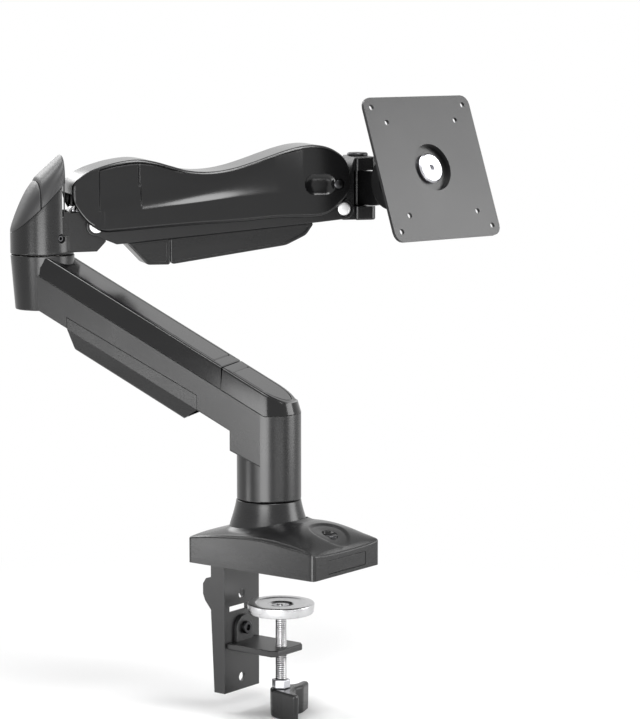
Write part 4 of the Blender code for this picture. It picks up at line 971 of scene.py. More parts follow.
        cap = make("lower_arm_cap_fine", self.place, [self.cap(self.split, self.reach - 8.0)],
                   [self.cap(self.split + 2.4, self.reach - 30.0, 2.4, 2.2), round_off, lid])
        dresser.add(cap, Body.LOWER_ARM, Finish.GLOSS_PLASTIC, "lower_arm_cap")
        cover = make("lower_cable_cover_fine", self.place,
                     [self.trough((49.4, 62.2), (155.4, 151.0), self.radius, 19.0, 4.0, 0.0, 14.8)],
                     [self.trough((20.0, 20.0), (180.0, 180.0), self.radius - 2.0, 17.0, 3.0, 9.0, 12.6)])
        dresser.add(cover, Body.LOWER_ARM, Finish.SATIN_PLASTIC, "lower_cable_cover")
        dresser.keep(Finish.NYLON, "column_bushing_low", "column_bushing_high", "elbow_bushing")
        dresser.keep(Finish.ZINC, "column_washer", "column_bolt")


# Elbow ------------------------------------------------------------------------------------------
@dataclass
class Elbow:
    """The elbow: slant-topped housing with a fork, two domes and the pins."""

    place: Place
    radius: float = 25.0
    low: float = 233.3
    shaft: float = 12.0
    shaft_end: float = 198.3
    fork: float = 17.0
    slot: float = 9.7
    lift: Point = (33.7, 275.0)
    link: Point = (39.0, 255.0)
    anchor: Point = (27.0, 264.0)

    def slope(self, along: Array | float) -> Array | float:
        """Height of the slanted top."""
        return 249.7 + 0.97 * (along + self.radius)

    def housing(self) -> Shape:
        """The round body: rings that turn from level at the foot to slanted at the top."""
        angle = np.linspace(0.0, math.tau, 160, endpoint=False)
        loops = []
        for share, by in ((0, 1.2), (0.004, 0.5), (0.02, 0.1), (0.045, 0.0), (0.1, 0), (0.3, 0), (0.6, 0),
                          (0.9, 0), (0.985, 0.0), (0.996, 0.15), (1.0, 0.5)):
            x, y = (self.radius - by) * np.cos(angle), (self.radius - by) * np.sin(angle)
            loops.append(np.column_stack([x, y, self.low + share * (self.slope(x) - self.low)]))
        return skin(np.stack(loops))

    def dome(self, start: float, end: float, rise_start: float, rise_end: float, lift: float) -> Shape:
        """A domed cover on the slant.

        Across it is the superellipse |y / half|^2.8 + |z / rise|^2.8 = 1; along it the rise follows a
        quarter sine, and both are drawn in by a small round at each end.
        """
        n = 2.8
        turn = np.linspace(0.0, math.pi, 49)
        share = np.concatenate([[0, 0.01, 0.03, 0.06], np.linspace(0.1, 0.9, 26), [0.94, 0.97, 0.99, 1.0]])
        loops = []
        for step in share:
            along = start + step * (end - start)
            tip = min(along - start, end - along)
            by = 1.3 * (1.0 - math.sqrt(max(0.0, 1.0 - max(0.0, 1.0 - tip / 1.3) ** 2)))
            half = math.sqrt(max(self.radius ** 2 - along ** 2, 9.0)) - 0.5 * by
            rise = rise_start + (rise_end - rise_start) * math.sin(step * math.pi / 2) + lift - by
            cos_t, sin_t = np.cos(turn), np.sin(turn)
            across = half * np.sign(cos_t) * np.abs(cos_t) ** (2 / n)
            up = rise * np.abs(sin_t) ** (2 / n)
            loops.append(np.column_stack([np.full(49, along), across, self.slope(along) + GAP + up]))
        return skin(np.stack(loops))

    def pin(self, radius: float, start: float, end: float, centre: Point) -> Shape:
        """A plain cross pin with a small chamfer and a centre dimple on its outer end."""
        out = math.copysign(1.0, end)
        return turned([(0, start), (radius - 0.3, start), (radius, start + 0.3 * out),
                       (radius, end - 0.5 * out),
                       (radius - 0.5, end), (1.4, end), (0.0, end - 0.6 * out)], Axis.ACROSS, centre, 72)

    def build(self, dresser: Dresser) -> None:
        """Make and dress the elbow's pieces."""
        (lift_x, lift_z), (link_x, link_z), low, fork = self.lift, self.link, self.low, self.fork
        swing_z, swing_front = 266.0, 15.0
        link_arc, lift_arc = np.radians(np.linspace(-20, 50, 12)), np.radians(np.linspace(-15, 180, 36))
        cheek = np.concatenate([
            [(0.0, low + 1.2), (40.0, low + 1.6), (47.0, low + 9.0)],
            np.stack([link_x + 9.7 * np.cos(link_arc), link_z + 9.7 * np.sin(link_arc)], -1),
            np.stack([lift_x + 8.0 * np.cos(lift_arc), lift_z + 8.0 * np.sin(lift_arc)], -1),
            [(lift_x - 8.5, swing_z), (0.0, swing_z)]])
        shaft = turned([(0, self.shaft_end), (self.shaft - 0.6, self.shaft_end),
                        (self.shaft, self.shaft_end + 0.6),
                        (self.shaft, low + 2), (0, low + 2)])
        top_cut = slab(np.array([(-40.0, float(self.slope(-40.0)) + 0.02),
                                 (40.0, float(self.slope(40.0)) + 0.02),
                                 (40.0, 400.0), (-40.0, 400.0)]), -40.0, 40.0, 0.2, Axis.ACROSS)
        holes = [top_cut,
                 block((12, fork + 0.04, low + 14), (60, 60, 330), 0.3, 0.2),
                 block((12, -60, low + 14), (60, -fork - 0.04, 330), 0.3, 0.2),
                 slab(np.array([(swing_front, swing_z), (lift_x - 9, swing_z), (lift_x - 9, 330),
                                (swing_front, 330)]),
                      -40.0, 40.0, 0.2, Axis.ACROSS),
                 block((8, -self.slot, low + 9), (80, self.slot, 330), 0.5, 0.3),
                 turned([(0, 262), (22, 262), (22, 330), (0, 330)]),
                 turned([(0, -30), (4.3, -30), (4.3, 30), (0, 30)], Axis.ACROSS, self.lift),
                 turned([(0, -30), (6.0, -30), (6.0, 30), (0, 30)], Axis.ACROSS, self.link),
                 turned([(0, -15), (3.3, -15), (3.3, 15), (0, 15)], Axis.ACROSS, self.anchor),
                 turned([(0, 190), (4.3, 190), (4.3, 218), (0, 218)])]
        screw_turn = math.radians(-63.0)
        direction = np.array([math.cos(screw_turn), math.sin(screw_turn)])
        holes.append(self.radial([(0, 13.5), (2.9, 13.5), (2.9, 23.6), (3.6, 24.6), (4.6, 30), (0, 30)],
                                 direction))
        housing = make("elbow_housing_fine", self.place,
                       [self.housing(), slab(cheek, -fork, fork, 0.8, Axis.ACROSS), shaft], holes)
        dresser.add(housing, Body.ELBOW, Finish.CASTING, "elbow_housing")
        screw = self.radial([(0, 14), (2.6, 14), (2.6, 23.2), (2.2, 23.6), (1.35, 23.6), (1.3, 21.5),
                             (0, 21.5)],
                            direction)
        dresser.add(make("friction_screw_fine", self.place, [screw]), Body.ELBOW, Finish.DARK_SCREW,
                    "friction_screw")
        rear, front = self.dome(-24.6, -5.0, 2.5, 21.0, 0.0), self.dome(-4.7, 15.0, 22.0, 21.0, 0.6)
        dresser.add(make("elbow_rear_dome_fine", self.place, [rear]), Body.ELBOW, Finish.DOME_PLASTIC,
                    "elbow_rear_dome")
        dresser.add(make("elbow_front_dome_fine", self.place, [front]), Body.ELBOW, Finish.DOME_PLASTIC,
                    "elbow_front_dome")
        for side, out in (("near", -1), ("far", 1)):
            lift_pin = self.pin(4.0, out * (self.slot + 1), out * (fork + 3.6), self.lift)
            dresser.add(make(f"lift_pin_{side}_fine", self.place, [lift_pin]), Body.ELBOW, Finish.ZINC,
                        f"lift_pin_{side}")
            link_pin = self.pin(5.7, out * (self.slot + 1), out * 20.7, self.link)
            dresser.add(make(f"link_pin_{side}_fine", self.place, [link_pin]), Body.ELBOW, Finish.PIN_STEEL,
                        f"link_pin_{side}")
        dresser.keep(Finish.ZINC, "elbow_bolt", "spring_anchor_pin")

    def radial(self, profile: list[Point], direction: Array) -> Shape:
        """A turned shape on a level axis through the elbow's own axis."""
        shape = turned(profile, Axis.ALONG, (0.0, 246.0), 48)
        along, across = shape.points[:, 0].copy(), shape.points[:, 1].copy()
        shape.points[:, 0] = along * direction[0] - across * direction[1]
        shape.points[:, 1] = along * direction[1] + across * direction[0]
        return shape


# Upper arm --------------------------------------------------------------------------------------
@dataclass
class UpperArm:
    """The gas-spring arm's shell: an inverted channel with a scooped pocket in each side."""

    place: Place
    half: float = 23.5
    edge: float = 2.6
    lift: Point = (33.7, 275.0)
    front_lift: Point = (234.477, 284.468)
    spring_front: Point = (196.0, 272.0)
    scoop: float = 6.8
    step: float = 2.6
    step_start: float = 40.5
    scoop_start: float = 73.5
    scoop_end: float = 205.0
    ramp: float = 22.0
    lip: float = 1.6
    top_line: list[Point] = field(default_factory=lambda: [
        (19.6, 283.2), (20.4, 286.9), (22.6, 290.1), (26.0, 293.2), (32.0, 297.0), (45.0, 301.8),
                                                           (58.0, 304.9),
        (73.4, 306.3), (85.0, 304.6), (98.0, 301.0), (111.0, 297.4), (124.2, 296.0), (137.0, 296.6),
                                                           (150.0, 299.0),
        (165.0, 303.4), (180.0, 308.5), (193.0, 312.6), (205.0, 315.2), (214.0, 315.8), (222.0, 314.9),
        (228.5, 312.8), (233.0, 310.3), (237.4, 307.0), (240.5, 303.0), (242.6, 298.0), (243.5, 292.0),
        (243.6, 286.0)])
    foot_line: list[Point] = field(default_factory=lambda: [
        (19.6, 283.2), (20.1, 277.5), (22.1, 271.0), (25.0, 266.0), (28.3, 261.5), (31.8, 257.6),
                                                            (36.0, 254.4),
        (41.0, 251.4), (47.0, 250.0), (54.0, 250.3), (86.9, 252.5), (120.0, 254.5), (152.9, 256.1),
                                                            (187.0, 258.4),
        (205.0, 258.5), (214.6, 258.6), (221.0, 259.4), (227.0, 261.6), (232.0, 265.6), (238.5, 272.0),
        (241.8, 276.6), (243.3, 281.0), (243.6, 286.0)])

    def ridge(self, along: Array) -> Array:
        """Height of the ridge that bounds the scoop below."""
        return smooth(along, [30.0, 42.0, 74.0, 100.0, 130.0, 160.0, 190.0, 212.0],
                      [262.0, 263.0, 266.0, 269.0, 272.4, 275.3, 277.4, 278.6])

    def depth(self, along: Array, level: Array, top: Array) -> Array:
        """How far the side is scooped in at a place.

        Up from the ridge it is 1 - (1 - t)^p, a narrow ledge at the rear and a wide scoop at the front, and
        it runs out close under the top edge. The lip along the ridge is rounded by sqrt(h^2 + r^2) - r.
        Along the arm it starts at a step, deepens at a groove and
        rises out again on a straight ramp.
        """
        height = np.maximum(top - 2.2 - self.ridge(along), 1.0)
        above = np.maximum(level - self.ridge(along), 0.0)
        t = (np.sqrt(above ** 2 + self.lip ** 2) - self.lip) / height
        power = 6.5 - 4.5 * ease((along - 60.0) / 100.0)
        rise = (1.0 - (1.0 - np.clip(t, 0, 1)) ** power) * (1.0 - ease((t - 0.92) / 0.06))
        shallow = self.step * ease((along - self.step_start) / 1.6)
        deep = (self.scoop - self.step) * (0.35 + 0.65 * ease((along - 80.0) / 95.0))
        groove = 1.4 * np.exp(-((along - self.scoop_start) / 0.9) ** 2) * ease((t - 0.42) / 0.1)
        ramp = 1.0 - np.clip((along - (self.scoop_end - self.ramp)) / self.ramp, 0.0, 1.0)
        return rise * ramp * (shallow + deep * ease((along - self.scoop_start) / 1.8) + groove)

    def outer(self) -> Shape:
        """The shell's outer form, a section at each station along the arm.

        Each section is a rounded rectangle from the foot line to the top line, drawn in at the two tips on
        a quarter circle, with the scoop taken from its two sides.
        """
        start, end = self.top_line[0][0], self.top_line[-1][0]
        turn = np.linspace(0.12, math.pi / 2, 16)
        tips = 12.0 * (1 - np.cos(turn)) + 0.01
        along = np.unique(np.round(np.concatenate([
            start + tips, end - tips, np.linspace(start + 12, end - 12, 180),
            np.linspace(self.scoop_start - 1.0, self.scoop_start + 4.0, 18),
            np.linspace(self.step_start - 0.6, self.step_start + 2.4, 12),
            np.linspace(self.scoop_end - 23.0, self.scoop_end + 0.5, 36)]), 3))
        along = along[np.concatenate([[True], np.diff(along) > 0.06])]
        top = np.interp(along, *np.array(self._fine(self.top_line)).T)
        foot = np.interp(along, *np.array(self._fine(self.foot_line)).T)
        reach = np.minimum(along - start, end - along)
        tip_by = self.edge * (1 - np.sqrt(np.clip(1 - np.clip(1 - reach / self.edge, 0, 1) ** 2, 0, 1)))
        below, lip, above, arc = 18, 16, 46, 6
        rows = below + lip + above
        loops = []
        for station, high, low, by in zip(along, top, foot, tip_by):
            half, edge = self.half - by, min(self.edge, 0.42 * max(high - low, 0.1))
            foot_at, top_at = low + edge, high - edge
            ridge = np.clip(float(self.ridge(np.array(station))), foot_at + 0.1 * (top_at - foot_at),
                            foot_at + 0.8 * (top_at - foot_at))
            reach_up = min(4.0, 0.4 * (top_at - ridge))
            side = np.concatenate([np.linspace(foot_at, ridge - 0.4, below, endpoint=False),
                                   np.linspace(ridge - 0.4, ridge + reach_up, lip, endpoint=False),
                                   np.linspace(ridge + reach_up, top_at, above)])
            pull = self.depth(np.full(rows, station), side, np.full(rows, high))
            quarter = np.linspace(0.0, math.pi / 2, arc + 1)[1:]
            top_y, top_z = half - edge + edge * np.cos(quarter), high - edge + edge * np.sin(quarter)
            foot_y, foot_z = top_y[::-1], low + edge - edge * np.sin(quarter[::-1])
            right = np.column_stack([np.concatenate([foot_y, half - pull, top_y]),
                                     np.concatenate([foot_z, side, top_z])])
            left = right[::-1] * np.array([-1.0, 1.0])
            section = np.concatenate([right, left])
            loops.append(np.column_stack([np.full(len(section), station), section]))
        return skin(np.stack(loops))

    @staticmethod
    def _fine(line: list[Point]) -> list[Point]:
        """A chord-length cubic curve through the points of a line, with eight points for each one given."""
        points = np.asarray(line)
        run = np.concatenate([[0.0], np.cumsum(np.linalg.norm(np.diff(points, axis=0), axis=1))])
        spot = np.linspace(0.0, run[-1], 8 * len(line))
        along = smooth(spot, run.tolist(), points[:, 0].tolist())
        return list(zip(np.maximum.accumulate(along) + 1e-7 * np.arange(len(spot)),
                        smooth(spot, run.tolist(), points[:, 1].tolist())))

    def hollows(self) -> list[Shape]:
        """The channel inside: full width below the ridge and at both ends, narrower behind the scoops."""
        wide = 21.3
        low = [(0.0, 225.0), (0.0, 280.0), (24.5, 280.0), (28.0, 287.0), (32.0, 291.0), (39.0, 293.6)] + [
            (float(at), float(self.ridge(np.array(at))) - 2.4) for at in np.linspace(39.6, 207.0, 36)] + [
               (209.0, 306.0), (222.0, 306.5), (270.0, 298.0), (270.0, 225.0)]
        middle = [(34.0, 245.0), (34.0, 289.0), (40.0, 294.0), (66.0, 300.0), (69.0, 296.0), (69.0, 245.0)]
        narrow = [(40.0, 240.0), (40.0, 292.0), (73.4, 302.0), (98.0, 297.0), (124.2, 292.0), (150.0, 294.5),
                  (180.0, 302.5), (205.0, 306.0), (215.0, 306.0), (215.0, 240.0)]
        fork_room, spring_room = 18.3, 13.2
        return [slab(np.array(low), -wide, wide, 0.5, Axis.ACROSS),
                slab(np.array(middle), -fork_room, fork_room, 0.5, Axis.ACROSS),
                slab(np.array(narrow), -spring_room, spring_room, 0.5, Axis.ACROSS)]

    def build(self, dresser: Dresser) -> None:
        """Make and dress the upper arm's pieces."""
        holes = self.hollows()
        inner = self.half - 2.2
        holes.append(turned([(0, -22.6), (4.3, -22.6), (4.3, 22.6), (0, 22.6)], Axis.ACROSS, self.lift))
        holes.append(turned([(0, -30), (4.3, -30), (4.3, 30), (0, 30)], Axis.ACROSS, self.front_lift))
        for out in (-1.0, 1.0):
            low, high = sorted((out * (self.half - 1.5), out * (self.half + 4.0)))
            recess = rounded([(206.5, 276.5), (231.5, 276.5), (231.5, 292.5), (206.5, 292.5)], 7.8, 12)
            deep = np.array([1.7, 1.62, 1.35, 0.9, 0.3, 0.0, -3.0])
            bowl = np.stack([inset(recess, step) for step in (6.4, 4.6, 2.9, 1.5, 0.5, 0.0, 0.0)])
            holes.append(skin(stand(bowl, out * (self.half - deep), Axis.ACROSS)))
            patch = rounded([(36.8, 254.0), (45.5, 252.2), (45.5, 266.0), (38.0, 266.0)], 1.2, 3)
            holes.append(slab(patch, low + (0.5 if out > 0 else 0.0), high - (0.5 if out < 0 else 0.0), 0.2,
                              Axis.ACROSS))
        shell = make("upper_arm_fine", self.place, [self.outer()], holes)
        seats = [turned([(3.3, out * 12.2), (6.5, out * 12.2), (6.5, out * (inner + 0.4)),
                         (3.3, out * (inner + 0.4))],
                        Axis.ACROSS, self.spring_front, 64, True) for out in (-1.0, 1.0)]
        dresser.add(shell, Body.UPPER_ARM, Finish.ARM_SHELL, "upper_arm")
        dresser.add(make("spring_seats", self.place, seats), Body.UPPER_ARM, Finish.ARM_SHELL)
        outer = self.half - 0.3
        pin = turned([(0, -outer), (2.9, -outer), (4.0, -outer + 0.8), (4.0, outer - 0.8), (2.9, outer),
                      (0, outer)],
                     Axis.ACROSS, self.front_lift, 72)
        rims = [turned([(4.4, out * (self.half - 1.3)), (6.4, out * (self.half - 1.3)),
                        (6.2, out * (self.half - 0.4)),
                        (4.5, out * (self.half - 0.4))], Axis.ACROSS, self.front_lift, 72, True)
                for out in (-1.0, 1.0)]
        dresser.add(make("head_lift_pin_fine", self.place, [pin]), Body.UPPER_ARM, Finish.DARK_SCREW,
                    "head_lift_pin")
        dresser.add(make("head_pin_rims", self.place, rims), Body.UPPER_ARM, Finish.ARM_SHELL)
        dresser.keep(Finish.ZINC, "spring_front_pin")


@dataclass
class LowerLink:
    """The lower link of the parallelogram, with the two cable trays clipped under it."""

    place: Place
    half: float = 20.7
    wall: float = 2.5
    eye: float = 8.0
    rear_pin: Point = (39.0, 255.0)
    front_pin: Point = (239.777, 264.468)
    start: float = 55.0
    end: float = 219.0
    tray_half: float = 14.0

    def floor(self, along: float) -> float:
        """Underside of the link."""
        return 240.2 + (254.4 - 240.2) * (along - 53.2) / (219.2 - 53.2)

    def eye_arc(self, centre: Point, start: float, end: float) -> list[Point]:
        """Points round the end of the link, between two angles in degrees."""
        turn = np.radians(np.linspace(start, end, 24))
        return list(zip(centre[0] + self.eye * np.cos(turn), centre[1] + self.eye * np.sin(turn)))

    def tray(self, outline: list[Point], hollow: list[Point], radii: list[float],
             name: str) -> bpy.types.Object:
        """One cable tray: a rounded trough with a raised border round each side."""
        line = rounded(outline, radii, 5)
        border = rounded(inset(np.array(outline), 2.0), np.maximum(np.array(radii) - 0.6, 1.0), 5)
        panels = [slab(border, low, low + 6.0, 0.4, Axis.ACROSS)
                  for low in (-self.tray_half - 4.8, self.tray_half - 1.2)]
        room = slab(np.array(hollow), 2.0 - self.tray_half, self.tray_half - 2.0, 0.4, Axis.ACROSS)
        return make(name, self.place, [slab(line, -self.tray_half, self.tray_half, 0.9, Axis.ACROSS)],
                    [room, *panels])

    def build(self, dresser: Dresser) -> None:
        """Make and dress the link and its trays."""
        floor, start, end = self.floor, self.start, self.end
        outline = np.array([(start, floor(start)), (end, floor(end)), *self.eye_arc(self.front_pin, -80, 80),
                            (end, floor(end) + 8.5), (start + 10, floor(start) + 14),
                            *self.eye_arc(self.rear_pin, 80, 270)])
        hollow = [(20, 262), (20, 225), (start + 3, 225), (start + 3, floor(start) + 2.5),
                  (end - 6, floor(end - 6) + 2.5), (end - 6, 240), (270, 240), (270, 320), (20, 320)]
        holes = [slab(np.array(hollow, float), self.wall - self.half, self.half - self.wall, 0.3,
                      Axis.ACROSS)]
        holes += [turned([(0, -30), (6.0, -30), (6.0, 30), (0, 30)], Axis.ACROSS, pin)
                  for pin in (self.rear_pin, self.front_pin)]
        link = make("lower_link_fine", self.place, [slab(outline, -self.half, self.half, 0.7, Axis.ACROSS)],
                    holes)
        dresser.add(link, Body.LINK, Finish.CASTING, "lower_link")
        rear_start, rear_end, front_end = 64.0, 98.7, 217.0
        rear = self.tray([(rear_start, floor(rear_start) - GAP), (80.6, 223.2), (rear_end, 223.0),
                          (rear_end, floor(rear_end) - GAP)],
                         [(50, 260), (rear_start + 3, floor(rear_start) - 2), (81.5, 225.2), (110, 225),
                          (110, 260)],
                         [1.4, 5.0, 1.6, 1.4], "cable_tray_rear_fine")
        dresser.add(rear, Body.LINK, Finish.SATIN_PLASTIC, "cable_tray_rear")
        front = self.tray([(99.0, floor(99.0) - GAP), (99.0, 223.0), (193.5, 236.2), (210.0, 244.0),
                           (front_end, floor(front_end) - GAP)],
                          [(90, 260), (90, 225), (192.5, 238.4), (206, 245), (208, 260)],
                          [1.4, 3.0, 18.0, 10.0, 1.4], "cable_tray_front_fine")
        dresser.add(front, Body.LINK, Finish.SATIN_PLASTIC, "cable_tray_front")


@dataclass
class GasSpring:
    """The gas spring inside the arm, along its own axis: zero is the front pin and the rod runs back."""

    place: Place
    length: float = 169.19
    radius: float = 10.0
    rod: float = 4.0

    def build(self, dresser: Dresser) -> None:
        """Make and dress the tube and the rod."""
        back, eye = 34.0 - self.length, 6.0
        tube = turned([(4.4, back), (6.5, back), (self.radius - 1.2, back + 0.6),
                       (self.radius - 0.1, back + 2.2),
                       (self.radius, back + 4), (self.radius, -16.0), (self.radius - 0.6, -14.6),
                       (7.0, -12.6),
                       (6.0, -10.0), (0.0, -10.0), (0.0, -24.0), (4.4, -24.0)], Axis.ALONG)
        flat = rounded([(-14.0, -4.5), (0.0, -6.0), (5.0, -4.0), (5.0, 4.0), (0.0, 6.0), (-14.0, 4.5)],
                       [0.9, 1.0, 3.9, 3.9, 1.0, 0.9], 8)
        bore = turned([(0, -8), (3.3, -8), (3.3, 8), (0, 8)], Axis.ACROSS)
        cylinder = make("gas_cylinder_fine", self.place, [tube, slab(flat, -5.0, 5.0, 0.6, Axis.ACROSS)],
                        [bore])
        dresser.add(cylinder, Body.CYLINDER, Finish.GLOSS_PLASTIC, "gas_cylinder")
        rod = turned([(0, -self.length), (self.rod, -self.length), (self.rod, -self.length + 109.4),
                      (self.rod - 0.6, -self.length + 110), (0, -self.length + 110)], Axis.ALONG)
        ring = slab(disc((-self.length, 0.0), eye + 1.0, 72), -5.0, 5.0, 0.5, Axis.ACROSS)
        play = turned([(0, -8), (4.8, -8), (4.8, 8), (0, 8)], Axis.ACROSS, (-self.length, 0.0))
        dresser.add(make("gas_rod_fine", self.place, [rod, ring], [play]), Body.ROD, Finish.TURNED, "gas_rod")


# Head -------------------------------------------------------------------------------------------
@dataclass
class Head:
    """The head: a bracket between the links, its swivel block, the tilt bracket and the screen plate."""

    upper: Place
    wrist_place: Place
    tilt_place: Place
    wrist: float = 256.5
    lift: Point = (234.477, 284.468)
    link: Point = (239.777, 264.468)
    low: float = 255.3
    high: float = 305.7
    gap_low: float = 266.0
    gap_high: float = 295.0
    yoke_half: float = 20.0
    arm_half: float = 5.1
    pin_half: float = 20.7
    reach: float = 50.0
    tilt_z: float = 287.0
    tilt_radius: float = 22.0

    def bracket(self) -> bpy.types.Object:
        """A tongue between the arm's walls and wider lobes above and below the swivel block."""
        turn = np.radians(np.linspace(90, 210, 24))
        tongue = np.concatenate([
            np.stack([self.lift[0] + 8 * np.cos(turn), self.lift[1] + 8 * np.sin(turn)], -1),
            [(self.link[0] - 8, self.link[1] + 2), (self.link[0] - 7, self.link[1] - 4),
             (self.link[0], self.low + 0.2), (self.wrist - 6, self.low + 0.2),
             (self.wrist - 6, self.high - 0.2),
             (self.wrist - 7.2, self.high - 0.2), (self.wrist - 12, self.lift[1] + 8)]])
        start, end = self.link[0] + 9.5, self.wrist + 10.5
        lobes = rounded([(start, -self.yoke_half), (end, -self.yoke_half), (end, self.yoke_half),
                         (start, self.yoke_half)], [2.5, 5.5, 5.5, 2.5], 8)
        holes = [block((self.wrist - 8, -40, self.gap_low), (self.wrist + 40, 40, self.gap_high), 0.4, 0.5),
                 turned([(0, 240), (3.8, 240), (3.8, 320), (0, 320)], centre=(self.wrist, 0.0)),
                 turned([(0, -30), (4.3, -30), (4.3, 30), (0, 30)], Axis.ACROSS, self.lift),
                 turned([(0, -30), (6.0, -30), (6.0, 30), (0, 30)], Axis.ACROSS, self.link)]
        return make("head_bracket_fine", self.upper, [slab(tongue, -17.0, 17.0, 0.7, Axis.ACROSS),
                                                      slab(lobes, self.low, self.high, 1.4, Axis.UP)], holes)

    def block(self) -> bpy.types.Object:
        """The swivel block: a hub at the wrist, a rising arm and the disc of the tilt joint."""
        arm = rounded([(0.0, 267.0), (26.0, 267.0), (44.0, 271.0), (50.0, 277.0), (50.0, 297.0),
                       (40.0, 300.0),
                       (26.0, 294.0), (0.0, 294.0)], [1.2, 5.0, 5.0, 3.0, 3.0, 5.0, 5.0, 1.2], 6)
        hub = turned([(0, 266.3), (7.0, 266.3), (7.6, 266.9), (7.6, 294.1), (7.0, 294.7), (0, 294.7)])
        wheel = slab(disc((self.reach, self.tilt_z), self.tilt_radius - 3.0, 112), -5.5, 5.5, 0.8,
                     Axis.ACROSS)
        holes = [turned([(0, 240), (3.8, 240), (3.8, 320), (0, 320)]),
                 turned([(0, -20), (4.3, -20), (4.3, 20), (0, 20)], Axis.ACROSS, (self.reach, self.tilt_z))]
        return make("swivel_block_fine", self.wrist_place, [slab(arm, -self.arm_half, self.arm_half, 0.8,
                                                                 Axis.ACROSS), hub, wheel],
                    holes)

    def build(self, dresser: Dresser) -> None:
        """Make and dress the head's pieces."""
        dresser.add(self.bracket(), Body.HEAD, Finish.CASTING, "head_bracket")
        end = [(0.0, 0.0), (2.0, 0.06), (3.6, 0.25), (4.7, 0.6), (5.4, 1.1), (5.7, 1.8)]
        pin = turned([(out, low - self.pin_half) for out, low in end]
                     + [(out, self.pin_half - low) for out, low in end[::-1]],
                     Axis.ACROSS, self.link, 80)
        dresser.add(make("head_link_pin_fine", self.upper, [pin]), Body.HEAD, Finish.PIN_STEEL,
                    "head_link_pin")
        seat = self.high + GAP
        swivel_pin = turned([(0, self.low + 1.2), (3.5, self.low + 1.2), (3.5, seat), (8.2, seat),
                             (8.5, seat + 0.3),
                             (8.3, seat + 1.6), (7.6, seat + 2.3), (6.8, seat + 2.5), (2.4, seat + 2.5),
                             (2.2, seat + 0.8), (0, seat + 0.8)], centre=(self.wrist, 0.0), sides=80)
        dresser.add(make("swivel_pin_fine", self.upper, [swivel_pin]), Body.HEAD, Finish.DARK_SCREW,
                    "swivel_pin")
        dresser.add(self.block(), Body.SWIVEL, Finish.CASTING, "swivel_block")
        self.build_tilt(dresser)
        self.build_plate(dresser)

    def build_tilt(self, dresser: Dresser) -> None:
        """The tilt bracket: two round cheeks joined by a web, with a ringed cap on each cheek."""
        inner, outer, radius = 7.1, 12.1, self.tilt_radius
        web_in, web_out = radius + 1.5, radius + 6.5
        cheeks = slab(disc((0.0, 0.0), radius, 144), -outer, outer, 0.9, Axis.ACROSS)
        web = slab(rounded([(0.0, 4 - radius), (web_out, 4 - radius), (web_out, radius - 4),
                            (0.0, radius - 4)],
                           [1.2, 1.4, 1.4, 1.2], 4), 0.6 - outer, outer - 0.6, 0.8, Axis.ACROSS)
        seat = slab(disc((0.0, 0.0), 20.0, 96), web_in + 0.6, web_out + 0.1, 0.6, Axis.ALONG)
        holes = [block((-60, -inner, -60), (web_in - 2, inner, 60), 0.3, 0.3),
                 turned([(0, -30), (4.3, -30), (4.3, 30), (0, 30)], Axis.ACROSS),
                 turned([(0, 0), (3.3, 0), (3.3, 40), (0, 40)], Axis.ALONG)]
        for out in (-1.0, 1.0):
            face = out * (outer - 2.5)
            holes.append(turned([(0, face), (9, face), (9, out * 16), (0, out * 16)], Axis.ACROSS))
            groove = out * (outer - 0.55)
            holes.append(turned([(11.2, groove), (12.0, groove), (12.0, out * 16), (11.2, out * 16)],
                                Axis.ACROSS,
                                ring=True))
        bracket = make("tilt_bracket_fine", self.tilt_place, [cheeks, web, seat], holes)
        dresser.add(bracket, Body.TILT, Finish.CASTING, "tilt_bracket")
        head, under = -outer - 1.5, -outer + 2.2
        key = rounded(disc((0.0, 0.0), 3.3, 6), 0.4, 2)
        bolt = turned([(0, under - 0.0), (0, head), (6.2, head), (7.0, head + 0.7), (7.0, under),
                       (4.0, under),
                       (4.0, outer + 1.6), (3.6, outer + 2.0), (0, outer + 2.0)][1:], Axis.ACROSS, sides=80)
        made = make("tilt_bolt_fine", self.tilt_place, [bolt],
                    [slab(key, head - 3.0, head + 2.6, 0.2, Axis.ACROSS)])
        dresser.add(made, Body.TILT, Finish.DARK_SCREW, "tilt_bolt")
        nut = make("tilt_nut_fine", self.tilt_place,
                   [slab(rounded(disc((0.0, 0.0), 7.5, 6), 0.9, 4), outer - 2.2, outer + 2.5, 0.6,
                         Axis.ACROSS)],
                   [turned([(0, 0), (4.3, 0), (4.3, 30), (0, 30)], Axis.ACROSS)])
        dresser.add(nut, Body.TILT, Finish.ZINC, "tilt_nut")
        dresser.keep(Finish.NYLON, "tilt_washer_near", "tilt_washer_far")

    def build_plate(self, dresser: Dresser) -> None:
        """The screen plate, refined from its own solid, and its centre bolt."""
        dresser.refine("screen_plate", Body.SCREEN, Finish.CLAMP_STEEL, 0.4)
        dresser.keep(Finish.NYLON, "rotation_washer")
        dish = self.tilt_radius + 6.5 + 1.8
        head, under = dish + 6.3, dish + 2.8
        bolt = turned([(0, head - 2.1), (2.6, head - 2.1), (2.7, head), (10.6, head), (12.0, head - 1.2),
                       (12.0, under), (3.0, under), (3.0, self.tilt_radius - 0.6),
                       (2.6, self.tilt_radius - 1.0),
                       (0, self.tilt_radius - 1.0)], Axis.ALONG, sides=80)
        dresser.add(make("rotation_bolt_fine", self.tilt_place, [bolt]), Body.SCREEN, Finish.ZINC,
                    "rotation_bolt")


